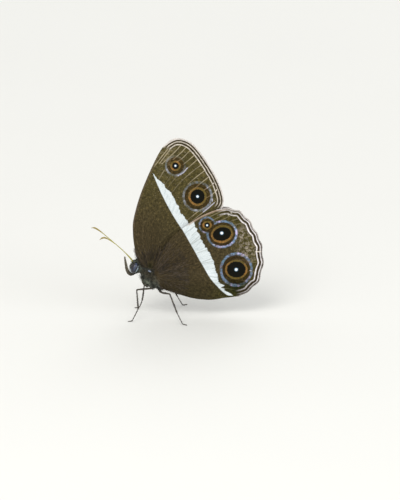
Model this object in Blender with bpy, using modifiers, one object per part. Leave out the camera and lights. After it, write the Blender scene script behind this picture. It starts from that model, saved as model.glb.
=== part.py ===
"""A smooth-eyed bushbrown butterfly, life size, standing on four legs with its wings closed.

Metres, +Z up. The head looks along -X and the butterfly's left side along -Y. The origin is on
the floor, under the middle of the model. The sizes below are in millimetres, and every outline,
vein and limb is drawn from them.
"""

import math

import bmesh
import bpy
from mathutils import Vector
from mathutils.geometry import delaunay_2d_cdt

MM = 0.001
GAP = 0.3
SIDES = {"left": -1, "right": 1}

# Trunk
THORAX_CENTRE = (-4.3, 0.0, 7.05)
THORAX_TILT = 47.0
THORAX_HALF_LENGTH = 2.75
THORAX_HALF_WIDTH = 1.5
THORAX_HALF_UP = 1.5
THORAX_HALF_DOWN = 1.25
ABDOMEN_CENTRE = (1.45, 0.0, 5.95)
ABDOMEN_TILT = 7.0
ABDOMEN_HALF_LENGTH = 5.2
ABDOMEN_HALF_WIDTH = 1.05
ABDOMEN_HALF_HEIGHT = 1.15
ABDOMEN_RINGS = 8
RING_DEPTH = 0.05

# Head
HEAD_CENTRE = (-7.45, 0.0, 9.0)
HEAD_TILT = 25.0
HEAD_HALF_LENGTH = 1.15
HEAD_HALF_WIDTH = 0.8
HEAD_HALF_HEIGHT = 1.25
EYE_OUT = 0.78
EYE_FORWARD = 0.22
EYE_RAISED = 0.12
EYE_HALF_LENGTH = 0.74
EYE_HALF_WIDTH = 0.76
EYE_HALF_HEIGHT = 1.03

# Wings
HINGE = (-4.7, 8.0)
MEMBRANE = 0.5
VEIN_THICKNESS = 0.62
MARGIN_THICKNESS = 0.3
MARGIN_TAPER = 0.5
VEIN_HALF_WIDTH = 0.28
VEIN_STEP = 1.2
VEIN_STOP = 0.35
OUTLINE_STEP = 0.8
FILL_STEP = 1.6
CLEAR_OF_VEINS = 0.55
CLEAR_OF_EDGE = 0.7
NEAREST_POINTS = 0.2
ON_VEIN = 0.1
SCALLOP = 0.24
SCALLOP_MIDDLE = (8.0, 11.0)
MIDPLANE_GAP = 0.18
FOREWING_ROOT_Y = 0.75
FOREWING_CLOSES_IN = 4.5
HINDWING_ROOT_Y = 1.4
HINDWING_ROOT_REACH = (1.0, 5.5)
HINDWING_OUTER_Y = 0.35
HINDWING_CLOSES_PAST_FOREWING = (0.5, 3.2)
BESIDE_ABDOMEN_Y = 1.42
BESIDE_ABDOMEN_LINE = ((-3.0, 6.5), (5.6, 5.4))
BESIDE_ABDOMEN_REACH = (1.2, 3.6)

# The forewing's edge in X and Z: its hind margin from the tornus to the root
FOREWING_HIND_MARGIN = (
    (7.3, 19.6),
    (3.6, 16.8),
    (-0.9, 12.6),
    (-3.7, 9.7),
    (-4.5, 8.3),
)
# Then its costa from the root, the apex, and the termen down to the tornus
FOREWING_EDGE = (
    (-5.4, 8.5),
    (-6.95, 10.2),
    (-7.6, 12.6),
    (-7.92, 15.6),
    (-7.75, 18.4),
    (-6.3, 23.5),
    (-3.6, 29.8),
    (-1.8, 32.4),
    (0.1, 33.25),
    (2.4, 32.5),
    (4.5, 30.1),
    (6.9, 26.1),
    (8.15, 22.8),
    (8.2, 20.9),
    *FOREWING_HIND_MARGIN,
)
# The forewing's veins: the stem points, then the place on the edge
FOREWING_VEINS = {
    "subcosta": ((-5.3, 9.0), (-7.1, 13.6), (-7.15, 18.2), (-6.45, 22.6)),
    "radius": ((-5.0, 9.2), (-6.2, 15.4), (-4.3, 21.6)),
    "radius_1": ((-6.2, 15.4), (-5.9, 20.6), (-5.65, 25.0)),
    "radius_2": ((-4.3, 21.6), (-4.55, 24.6), (-4.75, 27.4)),
    "radius_3": ((-4.3, 21.6), (-3.9, 26.2), (-3.4, 30.2)),
    "radius_4": ((-4.15, 24.0), (-3.0, 28.4), (-2.0, 32.1)),
    "radius_5": ((-4.1, 24.2), (-2.1, 29.0), (-0.3, 33.1)),
    "media_1": ((-4.3, 21.6), (-1.5, 27.5), (1.5, 32.9)),
    "cell_end": ((-4.3, 21.6), (-3.3, 19.6), (-0.7, 17.9)),
    "media_2": ((-3.3, 19.6), (0.2, 26.3), (4.0, 30.7)),
    "media_3": ((-0.7, 17.9), (2.2, 23.9), (5.5, 28.6)),
    "cubitus": ((-4.7, 9.0), (-3.2, 13.5), (-0.7, 17.9)),
    "cubitus_1": ((-1.5, 16.7), (2.4, 22.6), (7.0, 25.9)),
    "cubitus_2": ((-2.8, 14.4), (2.6, 18.6), (8.05, 22.4)),
    "anal": ((-4.4, 8.9), (0.2, 14.4), (7.5, 20.1)),
}
# The hindwing's costa, from its root to the apex
HINDWING_COSTA = (
    (-4.1, 7.4),
    (-3.95, 9.9),
    (-3.4, 11.3),
    (-1.35, 14.55),
    (1.35, 17.0),
    (4.05, 18.85),
    (6.75, 20.05),
)
# Where the hindwing's veins reach its outer edge
HINDWING_TERMEN = {
    "subcosta": (9.0, 20.4),
    "radius": (11.2, 19.75),
    "media_1": (13.05, 17.85),
    "media_2": (14.35, 15.5),
    "media_3": (15.15, 13.4),
    "cubitus_1": (15.45, 9.95),
    "cubitus_2": (14.6, 6.5),
    "anal": (12.6, 4.5),
}
HINDWING_INNER_EDGE = (
    (10.4, 3.72),
    (7.4, 3.4),
    (4.8, 3.38),
    (2.5, 3.72),
    (-0.9, 4.9),
    (-2.7, 5.55),
    (-3.6, 6.4),
)
HINDWING_CELL_UP = (1.9, 13.3)
HINDWING_CELL_MIDDLE = (2.7, 11.6)
HINDWING_CELL_DOWN = (3.2, 9.7)
HINDWING_ROOT = (-3.75, 7.5)

# Antennae, from the top of the head to the bent club
ANTENNA_PATHS = {
    "left": (
        (-7.85, -0.3, 9.7),
        (-8.2, -0.42, 10.5),
        (-9.4, -0.8, 12.1),
        (-10.55, -1.15, 13.35),
        (-11.9, -1.5, 14.5),
        (-12.8, -1.7, 15.05),
        (-13.45, -1.82, 15.1),
        (-13.95, -1.9, 14.65),
    ),
    "right": (
        (-7.85, 0.3, 9.7),
        (-8.2, 0.42, 10.45),
        (-9.45, 0.9, 11.6),
        (-10.9, 1.4, 12.8),
        (-12.6, 1.9, 14.15),
        (-13.8, 2.15, 15.1),
        (-14.8, 2.35, 15.65),
        (-15.4, 2.45, 15.6),
    ),
}
ANTENNA_STEP = 0.7
ANTENNA_RADIUS = 0.25
CLUB_RADIUS = 0.3
CLUB_SWELLS = (0.7, 0.85)
CLUB_NARROWS = (0.9, 1.0)
ANTENNA_TIP_RADIUS = 0.15

# Palps, from under the face up in front of it
PALP_PATH = (
    (-7.6, 0.37, 8.0),
    (-8.35, 0.37, 7.75),
    (-8.95, 0.37, 8.5),
    (-9.15, 0.36, 9.6),
    (-9.35, 0.36, 10.75),
)
PALP_RADII = (0.26, 0.27, 0.26, 0.24, 0.1)
PALP_NARROWING = 1.35
PALP_STEP = 0.45

# Legs, from the root inside the thorax to the foot
FORELEG_PATHS = {
    "left": ((-5.4, -0.6, 7.6), (-6.3, -0.95, 7.0), (-6.3, -1.0, 6.3), (-5.9, -0.95, 5.75)),
    "right": ((-5.4, 0.6, 7.6), (-6.35, 0.95, 6.9), (-6.4, 1.0, 6.1), (-6.1, 0.95, 5.5)),
}
MIDLEG_PATHS = {
    "left": (
        (-4.5, -0.6, 6.2),
        (-4.55, -1.05, 5.4),
        (-7.25, -2.9, 5.75),
        (-6.98, -3.35, 2.3),
        (-7.75, -3.55, 0.75),
        (-8.1, -3.65, 0.2),
        (-8.75, -3.8, 0.2),
    ),
    "right": (
        (-4.5, 0.6, 6.2),
        (-4.6, 1.05, 5.1),
        (-5.95, 2.7, 4.7),
        (-6.3, 3.4, 1.7),
        (-6.65, 3.65, 0.7),
        (-6.95, 3.8, 0.2),
        (-7.6, 4.0, 0.2),
    ),
}
HINDLEG_PATH = (
    (-3.1, 0.5, 5.9),
    (-3.1, 0.95, 4.75),
    (-2.6, 1.7, 4.75),
    (-1.35, 3.2, 5.05),
    (-0.05, 4.8, 2.0),
    (0.6, 5.15, 0.75),
    (0.95, 5.35, 0.2),
    (1.65, 5.85, 0.2),
)
COXA_RADIUS = 0.42
FEMUR_RADIUS = 0.3
KNEE_RADIUS = 0.27
TARSUS_RADIUS = 0.25
CLAW_RADIUS = 0.23
FORELEG_RADII = (0.32, 0.32, 0.28, 0.15)
KNEE_ROUNDING = 0.35

MATERIALS = {
    "scaly_wing": ((0.075, 0.052, 0.03), 0.85),
    "dark_fur": ((0.055, 0.045, 0.035), 0.9),
    "compound_eye": ((0.03, 0.032, 0.045), 0.2),
    "leg_chitin": ((0.12, 0.095, 0.075), 0.55),
    "feeler_chitin": ((0.42, 0.3, 0.12), 0.5),
}


def clear_scene():
    for obj in list(bpy.data.objects):
        bpy.data.objects.remove(obj)


def make_collections():
    made = []
    for name in ("bushbrown", "cutters"):
        collection = bpy.data.collections.new(name)
        bpy.context.scene.collection.children.link(collection)
        made.append(collection)
    return made


def make_material(name):
    colour, roughness = MATERIALS[name]
    material = bpy.data.materials.new(name)
    material.use_nodes = True
    shader = material.node_tree.nodes["Principled BSDF"]
    shader.inputs["Base Color"].default_value = (*colour, 1.0)
    shader.inputs["Roughness"].default_value = roughness
    shader.inputs["Metallic"].default_value = 0.0
    return material


def add_object(name, mesh, collection, material=None):
    obj = bpy.data.objects.new(name, mesh)
    collection.objects.link(obj)
    if material is not None:
        mesh.materials.append(material)
        mesh.shade_smooth()
    return obj


def as_cutter(obj):
    obj.hide_render = True
    obj.display_type = "WIRE"
    return obj


def cut(obj, cutter):
    """Takes the cutter's shape out of obj."""
    modifier = obj.modifiers.new("cut_by_" + cutter.name, "BOOLEAN")
    modifier.operation = "DIFFERENCE"
    modifier.solver = "EXACT"
    modifier.object = cutter


def ovoid(name, centre, tilt, half_length, half_width, half_up, half_down, grow=0.0,
          segments=20, rings=14, girth=None):
    """An egg form along an axis that points to the tail and dips by tilt degrees. girth(a)
    scales its thickness at the place a, from -1 at the front to 1 at the back."""
    angle = math.radians(tilt)
    along = Vector((math.cos(angle), 0, -math.sin(angle)))
    up = Vector((math.sin(angle), 0, math.cos(angle)))
    side = Vector((0, 1, 0))
    form = bmesh.new()
    bmesh.ops.create_uvsphere(form, u_segments=segments, v_segments=rings, radius=1)
    for vertex in form.verts:
        high, wide, far = vertex.co
        scale = girth(far) if girth else 1.0
        half_high = half_up if high > 0 else half_down
        vertex.co = MM * (
            Vector(centre)
            + along * far * (half_length + grow)
            + side * wide * (half_width * scale + grow)
            + up * high * (half_high * scale + grow)
        )
    bmesh.ops.recalc_face_normals(form, faces=form.faces)
    mesh = bpy.data.meshes.new(name)
    form.to_mesh(mesh)
    form.free()
    return mesh


def blunt_ends(a):
    """Turns a sphere's outline into a fuller one, for a body that is thick nearly to its ends."""
    fullness = 3.2
    edge = max(1 - a * a, 1e-6)
    return (1 - abs(a) ** fullness) ** (1 / 2.2) / math.sqrt(edge)


def abdomen_girth(a):
    taper = 1 - 0.32 * max(0.0, a) ** 1.5 - 0.12 * max(0.0, -a)
    ring = RING_DEPTH * math.cos(math.pi * ABDOMEN_RINGS * (a + 1))
    return blunt_ends(a) * taper * (1 + ring)


def thorax_mesh(name, grow=0.0):
    return ovoid(name, THORAX_CENTRE, THORAX_TILT, THORAX_HALF_LENGTH, THORAX_HALF_WIDTH,
                 THORAX_HALF_UP, THORAX_HALF_DOWN, grow, segments=24, rings=18)


def head_mesh(name, grow=0.0):
    return ovoid(name, HEAD_CENTRE, HEAD_TILT, HEAD_HALF_LENGTH, HEAD_HALF_WIDTH,
                 HEAD_HALF_HEIGHT, HEAD_HALF_HEIGHT, grow, segments=20, rings=14)


def abdomen_mesh(name):
    return ovoid(name, ABDOMEN_CENTRE, ABDOMEN_TILT, ABDOMEN_HALF_LENGTH, ABDOMEN_HALF_WIDTH,
                 ABDOMEN_HALF_HEIGHT, ABDOMEN_HALF_HEIGHT, segments=18, rings=40,
                 girth=abdomen_girth)


def eye_mesh(name, side):
    x, _, z = HEAD_CENTRE
    centre = (x - EYE_FORWARD, side * EYE_OUT, z + EYE_RAISED)
    return ovoid(name, centre, HEAD_TILT, EYE_HALF_LENGTH, EYE_HALF_WIDTH, EYE_HALF_HEIGHT,
                 EYE_HALF_HEIGHT, segments=20, rings=14)


def spline_through(points, step, closed=False):
    """Points at about the given step along a smooth curve through the given ones."""
    points = [Vector(point) for point in points]
    count = len(points)
    spans = count if closed else count - 1
    found = []
    for i in range(spans):
        if closed:
            before, start, end, after = (points[(i + k) % count] for k in (-1, 0, 1, 2))
        else:
            before = points[max(i - 1, 0)]
            start, end = points[i], points[i + 1]
            after = points[min(i + 2, count - 1)]
        pieces = max(1, round((end - start).length / step))
        for k in range(pieces):
            t = k / pieces
            found.append(0.5 * (
                2 * start + (end - before) * t
                + (2 * before - 5 * start + 4 * end - after) * t * t
                + (3 * start - before - 3 * end + after) * t ** 3
            ))
    if not closed:
        found.append(points[-1])
    return found


def rounded_path(points, reach):
    """The path with each inner corner replaced by a short bend of three points."""
    points = [Vector(point) for point in points]
    path = [points[0]]
    for before, corner, after in zip(points, points[1:], points[2:]):
        back = (before - corner).normalized() * min(reach, 0.4 * (before - corner).length)
        on = (after - corner).normalized() * min(reach, 0.4 * (after - corner).length)
        path += [corner + back, corner + 0.25 * (back + on), corner + on]
    path.append(points[-1])
    return path


def radii_along(path, given, radii):
    """A radius for each point of path, from the radii of the given points nearest along it."""
    given = [Vector(point) for point in given]
    found = []
    for point in path:
        best = None
        for i in range(len(given) - 1):
            start, end = given[i], given[i + 1]
            span = end - start
            t = max(0.0, min(1.0, (point - start).dot(span) / span.length_squared))
            distance = (start + span * t - point).length
            if best is None or distance < best[0]:
                best = (distance, radii[i] + (radii[i + 1] - radii[i]) * t)
        found.append(best[1])
    return found


def tube_mesh(name, path, radii, resolution=2):
    """A round tube along the path, thick as the radii say, with closed ends."""
    curve = bpy.data.curves.new(name, "CURVE")
    curve.dimensions = "3D"
    curve.bevel_depth = MM
    curve.bevel_resolution = resolution
    curve.use_fill_caps = True
    spline = curve.splines.new("POLY")
    spline.points.add(len(path) - 1)
    for target, point, radius in zip(spline.points, path, radii):
        target.co = (*(Vector(point) * MM), 1.0)
        target.radius = radius
    guide = bpy.data.objects.new(name + "_guide", curve)
    bpy.context.scene.collection.objects.link(guide)
    bpy.context.view_layer.update()
    graph = bpy.context.evaluated_depsgraph_get()
    mesh = bpy.data.meshes.new_from_object(guide.evaluated_get(graph))
    bpy.data.objects.remove(guide)
    bpy.data.curves.remove(curve)
    form = bmesh.new()
    form.from_mesh(mesh)
    bmesh.ops.remove_doubles(form, verts=form.verts, dist=1e-6)
    bmesh.ops.recalc_face_normals(form, faces=form.faces)
    form.to_mesh(mesh)
    form.free()
    mesh.name = name
    return mesh


def stand_on_floor(mesh):
    """Cuts the foot off level at the floor, so that it has a small flat."""
    form = bmesh.new()
    form.from_mesh(mesh)
    everything = form.verts[:] + form.edges[:] + form.faces[:]
    level = bmesh.ops.bisect_plane(form, geom=everything, plane_co=(0, 0, 0),
                                   plane_no=(0, 0, 1), clear_inner=True)
    rim = [item for item in level["geom_cut"] if isinstance(item, bmesh.types.BMEdge)]
    bmesh.ops.holes_fill(form, edges=rim, sides=0)
    bmesh.ops.recalc_face_normals(form, faces=form.faces)
    form.to_mesh(mesh)
    form.free()


def mirrored(path, side):
    return [(x, abs(y) * side, z) for x, y, z in path]


def leg_mesh(name, path, radii, on_floor=True):
    bent = rounded_path(path, KNEE_ROUNDING)
    mesh = tube_mesh(name, bent, radii_along(bent, path, radii))
    if on_floor:
        stand_on_floor(mesh)
    return mesh


def walking_leg_radii(path):
    """A leg's radius at each point: thick at the root, thinner from the knee to the claws."""
    thighs = [FEMUR_RADIUS] * (len(path) - 7)
    return [COXA_RADIUS, COXA_RADIUS, *thighs, KNEE_RADIUS, *[TARSUS_RADIUS] * 3, CLAW_RADIUS]


def antenna_mesh(name, path):
    line = spline_through(path, ANTENNA_STEP)
    last = len(line) - 1
    radii = []
    for i in range(len(line)):
        swelling = smooth_step(*CLUB_SWELLS, i / last)
        radius = ANTENNA_RADIUS + (CLUB_RADIUS - ANTENNA_RADIUS) * swelling
        narrowing = smooth_step(*CLUB_NARROWS, i / last)
        radii.append(radius + (ANTENNA_TIP_RADIUS - radius) * narrowing)
    return tube_mesh(name, line, radii)


def palp_mesh(name, side):
    """A palp: a tube pressed a little flat from the sides."""
    path = mirrored(PALP_PATH, side)
    line = spline_through(path, PALP_STEP)
    mesh = tube_mesh(name, line, radii_along(line, path, PALP_RADII))
    middle = side * PALP_PATH[1][1] * MM
    for vertex in mesh.vertices:
        vertex.co.y = middle + (vertex.co.y - middle) / PALP_NARROWING
    return mesh


def smooth_step(low, high, value):
    t = max(0.0, min(1.0, (value - low) / (high - low)))
    return t * t * (3 - 2 * t)


def distance_to_segment(point, start, end):
    span = end - start
    t = max(0.0, min(1.0, (point - start).dot(span) / span.length_squared))
    return (start + span * t - point).length


def distance_to_line(point, line, closed=False):
    ends = list(zip(line, line[1:]))
    if closed:
        ends.append((line[-1], line[0]))
    return min(distance_to_segment(point, start, end) for start, end in ends)


def inside(point, outline):
    """Whether a flat point lies within the closed outline."""
    found = False
    for start, end in zip(outline, outline[1:] + outline[:1]):
        if (start.y > point.y) != (end.y > point.y):
            crossing = start.x + (end.x - start.x) * (point.y - start.y) / (end.y - start.y)
            if point.x < crossing:
                found = not found
    return found


def forewing_outline():
    return spline_through(FOREWING_EDGE, OUTLINE_STEP, closed=True)


def hindwing_outline():
    """The hindwing's edge. Its outer edge dips a little between the ends of the veins."""
    corners = list(HINDWING_TERMEN.values())
    key = [*HINDWING_COSTA, *corners, *HINDWING_INNER_EDGE]
    edge = spline_through(key, OUTLINE_STEP, closed=True)
    middle = Vector(SCALLOP_MIDDLE)
    corners = [Vector(corner) for corner in corners]
    for start, end in zip(corners, corners[1:]):
        span = end - start
        for point in edge:
            t = (point - start).dot(span) / span.length_squared
            on_this_span = (point - (start + span * t)).length < OUTLINE_STEP / 2
            if 0 < t < 1 and on_this_span:
                point += (middle - point).normalized() * SCALLOP * math.sin(math.pi * t) ** 2
    return edge


def hindwing_veins():
    """Each vein of the hindwing: its stem points, then its place on the edge."""
    end = HINDWING_TERMEN
    up, middle, down = HINDWING_CELL_UP, HINDWING_CELL_MIDDLE, HINDWING_CELL_DOWN
    root = HINDWING_ROOT
    return {
        "subcosta": (root, (-1.2, 13.0), (3.9, 17.7), end["subcosta"]),
        "sector": (root, (-1.6, 9.9), up),
        "radius": (up, (6.4, 17.3), end["radius"]),
        "media_1": (up, (7.2, 16.3), end["media_1"]),
        "cell_end": (up, middle, down),
        "media_2": (middle, (8.2, 13.6), end["media_2"]),
        "media_3": (down, (8.9, 11.9), end["media_3"]),
        "cubitus": (root, (-0.7, 8.7), down),
        "cubitus_1": ((2.2, 9.45), (8.6, 10.6), end["cubitus_1"]),
        "cubitus_2": ((0.4, 9.0), (8.0, 7.3), end["cubitus_2"]),
        "anal": (root, (2.6, 6.5), end["anal"]),
        "anal_3": (root, (-0.4, 5.5), (4.9, 4.2)),
    }


def vein_lines(veins, outline):
    """Each vein as points at an even step, stopping short of the wing's edge."""
    lines = []
    for points in veins.values():
        line = spline_through(points, VEIN_STEP)
        kept = [p for p in line if distance_to_line(p, outline, True) > VEIN_STOP]
        if len(kept) > 1:
            lines.append(kept)
    return lines


def wing_points(outline, lines):
    """The flat points of a wing's net and the edges along its veins. Each vein has a row of
    points on either side, and wider spaces are filled by an even grid."""
    points = list(outline)
    edges = []

    def place_of(point, nearness):
        for i, other in enumerate(points):
            if (other - point).length < nearness:
                return i
        points.append(point)
        return len(points) - 1

    for line in lines:
        places = [place_of(point, NEAREST_POINTS) for point in line]
        edges += [(a, b) for a, b in zip(places, places[1:]) if a != b]

    def clear(point, of_veins, of_edge):
        return (inside(point, outline) and distance_to_line(point, outline, True) > of_edge
                and all(distance_to_line(point, line) > of_veins for line in lines))

    for line in lines:
        for i, point in enumerate(line):
            ahead = line[min(i + 1, len(line) - 1)] - line[max(i - 1, 0)]
            across = Vector((-ahead.y, ahead.x)).normalized() * VEIN_HALF_WIDTH
            for beside in (point + across, point - across):
                if clear(beside, 0.8 * VEIN_HALF_WIDTH, NEAREST_POINTS):
                    place_of(beside, NEAREST_POINTS)
    low_x, high_x = min(p.x for p in outline), max(p.x for p in outline)
    low_y, high_y = min(p.y for p in outline), max(p.y for p in outline)
    for row in range(int((high_y - low_y) / FILL_STEP) + 1):
        for column in range(int((high_x - low_x) / FILL_STEP) + 1):
            spot = Vector((low_x + (column + 0.5 * (row % 2)) * FILL_STEP,
                           low_y + row * FILL_STEP))
            if clear(spot, CLEAR_OF_VEINS, CLEAR_OF_EDGE):
                place_of(spot, CLEAR_OF_EDGE)
    return points, edges


def forewing_inner_y(place):
    """How far from the midplane the forewing's inner face lies."""
    reach = (place - Vector(HINGE)).length
    closing = smooth_step(0.0, FOREWING_CLOSES_IN, reach)
    return FOREWING_ROOT_Y + (MIDPLANE_GAP - FOREWING_ROOT_Y) * closing


def hindwing_inner_y(place):
    """The hindwing lies over the forewing and the abdomen, and closes in behind them."""
    forewing = [Vector(point) for point in FOREWING_HIND_MARGIN]
    start, end = forewing[0], forewing[-2]
    if (end - start).cross(place - start) < 0:
        over_forewing = 1.0
    else:
        to_forewing = distance_to_line(place, forewing)
        over_forewing = 1 - smooth_step(*HINDWING_CLOSES_PAST_FOREWING, to_forewing)
    to_abdomen = distance_to_segment(place, *[Vector(end) for end in BESIDE_ABDOMEN_LINE])
    beside_abdomen = 1 - smooth_step(*BESIDE_ABDOMEN_REACH, to_abdomen)
    at_root = 1 - smooth_step(*HINDWING_ROOT_REACH, (place - Vector(HINGE)).length)
    outer = HINDWING_OUTER_Y
    clear_of_forewing = forewing_inner_y(place) + VEIN_THICKNESS + GAP
    return max(
        outer + (clear_of_forewing - outer) * over_forewing,
        outer + (BESIDE_ABDOMEN_Y - outer) * beside_abdomen,
        outer + (HINDWING_ROOT_Y - outer) * at_root,
    )


def wing_mesh(name, outline, veins, inner_y, side):
    """The wing's inner face as an open sheet, and a weight for each point's thickness: 0 at
    the edge, 1 on a vein, and in between on the membrane."""
    lines = vein_lines(veins, outline)
    points, edges = wing_points(outline, lines)
    rim = list(range(len(outline)))
    net = delaunay_2d_cdt([p.to_2d() for p in points], edges, [rim], 1, 1e-5)
    flat, faces = net[0], net[2]
    mesh = bpy.data.meshes.new(name)
    corners = [(p.x * MM, side * inner_y(p) * MM, p.y * MM) for p in flat]
    mesh.from_pydata(corners, [], faces)
    sheet = bmesh.new()
    sheet.from_mesh(mesh)
    bmesh.ops.recalc_face_normals(sheet, faces=sheet.faces)
    sheet.faces.ensure_lookup_table()
    largest = max(sheet.faces, key=lambda face: face.calc_area())
    if largest.normal.y * side < 0:
        bmesh.ops.reverse_faces(sheet, faces=sheet.faces)
    sheet.to_mesh(mesh)
    sheet.free()
    membrane = (MEMBRANE - MARGIN_THICKNESS) / (VEIN_THICKNESS - MARGIN_THICKNESS)
    weights = []
    for point in flat:
        taper = smooth_step(0.0, MARGIN_TAPER, distance_to_line(point, outline, True))
        on_vein = min(distance_to_line(point, line) for line in lines) < ON_VEIN
        weights.append(taper * (1.0 if on_vein else membrane))
    return mesh, weights


def thicken(obj, weights):
    """Gives the sheet its thickness on the outer side, as the weights say."""
    group = obj.vertex_groups.new(name="thickness")
    for index, weight in enumerate(weights):
        group.add([index], weight, "REPLACE")
    solid = obj.modifiers.new("thickness", "SOLIDIFY")
    solid.thickness = VEIN_THICKNESS * MM
    solid.offset = 1.0
    solid.vertex_group = group.name
    solid.thickness_vertex_group = MARGIN_THICKNESS / VEIN_THICKNESS


def add_trunk(parts, cutters, materials):
    """The thorax, abdomen, head and eyes, each cut back from what it grows from."""
    fur = materials["dark_fur"]
    thorax_grown = as_cutter(add_object("thorax_grown", thorax_mesh("thorax_grown", GAP), cutters))
    head_grown = as_cutter(add_object("head_grown", head_mesh("head_grown", GAP), cutters))
    add_object("thorax", thorax_mesh("thorax"), parts, fur)
    for name, mesh in (("abdomen", abdomen_mesh("abdomen")), ("head", head_mesh("head"))):
        cut(add_object(name, mesh, parts, fur), thorax_grown)
    for word, side in SIDES.items():
        name = "eye_" + word
        eye = add_object(name, eye_mesh(name, side), parts, materials["compound_eye"])
        cut(eye, head_grown)
        cut(eye, thorax_grown)
    return thorax_grown, head_grown


def add_head_limbs(parts, head_grown, materials):
    for word, side in SIDES.items():
        name = "antenna_" + word
        mesh = antenna_mesh(name, ANTENNA_PATHS[word])
        cut(add_object(name, mesh, parts, materials["feeler_chitin"]), head_grown)
        name = "palp_" + word
        cut(add_object(name, palp_mesh(name, side), parts, materials["dark_fur"]), head_grown)


def add_legs(parts, thorax_grown, materials):
    chitin = materials["leg_chitin"]
    mid_radii = walking_leg_radii(MIDLEG_PATHS["left"])
    hind_radii = walking_leg_radii(HINDLEG_PATH)
    for word, side in SIDES.items():
        legs = {
            "foreleg_" + word: (FORELEG_PATHS[word], FORELEG_RADII, False),
            "midleg_" + word: (MIDLEG_PATHS[word], mid_radii, True),
            "hindleg_" + word: (mirrored(HINDLEG_PATH, side), hind_radii, True),
        }
        for name, (path, radii, on_floor) in legs.items():
            leg = add_object(name, leg_mesh(name, path, radii, on_floor), parts, chitin)
            cut(leg, thorax_grown)


def add_wings(parts, thorax_grown, head_grown, materials):
    """The four wings. Each is cut clear of the thorax that it grows from, and of the head."""
    scales = materials["scaly_wing"]
    pairs = {
        "forewing_": (forewing_outline(), FOREWING_VEINS, forewing_inner_y),
        "hindwing_": (hindwing_outline(), hindwing_veins(), hindwing_inner_y),
    }
    for pair, (outline, veins, inner_y) in pairs.items():
        for word, side in SIDES.items():
            name = pair + word
            mesh, weights = wing_mesh(name, outline, veins, inner_y, side)
            wing = add_object(name, mesh, parts, scales)
            thicken(wing, weights)
            cut(wing, thorax_grown)
            if pair == "forewing_":
                cut(wing, head_grown)


def main():
    clear_scene()
    parts, cutters = make_collections()
    materials = {name: make_material(name) for name in MATERIALS}
    thorax_grown, head_grown = add_trunk(parts, cutters, materials)
    add_head_limbs(parts, head_grown, materials)
    add_legs(parts, thorax_grown, materials)
    add_wings(parts, thorax_grown, head_grown, materials)


main()
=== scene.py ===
"""Smooth-eyed bushbrown butterfly, life size: wings, body, limbs and a plain studio stage.

Sizes in the constants are millimetres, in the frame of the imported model. The head points
to -X, the wings rise along +Z, and the left side, at -Y, faces the camera."""

import math

import bmesh
import bpy
import numpy as np
from bpy.props import FloatProperty, FloatVectorProperty, IntProperty, PointerProperty
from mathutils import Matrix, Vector
from mathutils.geometry import delaunay_2d_cdt


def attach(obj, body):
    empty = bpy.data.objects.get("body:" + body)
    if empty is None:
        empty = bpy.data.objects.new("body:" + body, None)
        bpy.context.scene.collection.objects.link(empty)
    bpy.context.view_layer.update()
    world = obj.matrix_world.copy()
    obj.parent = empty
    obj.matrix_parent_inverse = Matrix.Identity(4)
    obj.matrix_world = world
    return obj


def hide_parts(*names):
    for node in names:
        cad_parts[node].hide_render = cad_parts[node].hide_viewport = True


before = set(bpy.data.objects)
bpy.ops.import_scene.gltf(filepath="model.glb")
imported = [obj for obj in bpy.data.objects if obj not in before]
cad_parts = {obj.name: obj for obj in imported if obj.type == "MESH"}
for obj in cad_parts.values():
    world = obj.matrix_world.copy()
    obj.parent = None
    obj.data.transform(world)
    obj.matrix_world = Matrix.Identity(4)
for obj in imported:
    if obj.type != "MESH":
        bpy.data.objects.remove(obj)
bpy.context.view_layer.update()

bl_info = {
    "name": "Smooth-eyed Bushbrown Butterfly",
    "version": (1, 0, 0),
    "blender": (4, 5, 0),
    "location": "3D View > Sidebar > Butterfly",
    "description": "Builds a life-size bushbrown butterfly at rest with its wings closed",
    "category": "Add Mesh",
}

MM = 0.001
SIDES = {"left": -1, "right": 1}
BODY = "root"

# Trunk: centre, tilt, half length, half width, half height above and below.
THORAX = ((-4.3, 0.0, 7.05), 47.0, 2.75, 1.5, 1.5, 1.25)
ABDOMEN = ((1.45, 0.0, 5.95), 7.0, 5.2, 1.05, 1.15, 1.15)
HEAD = ((-7.45, 0.0, 9.0), 25.0, 1.15, 0.8, 1.25, 1.25)
ABDOMEN_RINGS, RING_DEPTH = 8, 0.045
EYE_CENTRE = (-7.67, 0.78, 9.12)
EYE_HALVES = (0.67, 0.72, 1.02)

# How far the wings lie from the middle plane and how far the forewing's root reaches. Then
# come how far the hindwing lies over the forewing, the distances over which its rises fade, and
# the line along the abdomen, as (x, z).
FOREWING_AWAY = {"outside": 0.12, "at_root": 0.69}
FOREWING_ROOT_REACH = 4.5
HINDWING_AWAY = {"outside": 0.15, "beside_abdomen": 1.24, "at_root": 1.2}
HINDWING_OVER_FOREWING = 0.5
HINDWING_FADES = {"over_forewing": (0.5, 3.2), "beside_abdomen": (1.2, 3.6),
                  "at_root": (1.0, 5.5)}
ABDOMEN_LINE = ((-3.0, 6.5), (5.6, 5.4))

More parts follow.
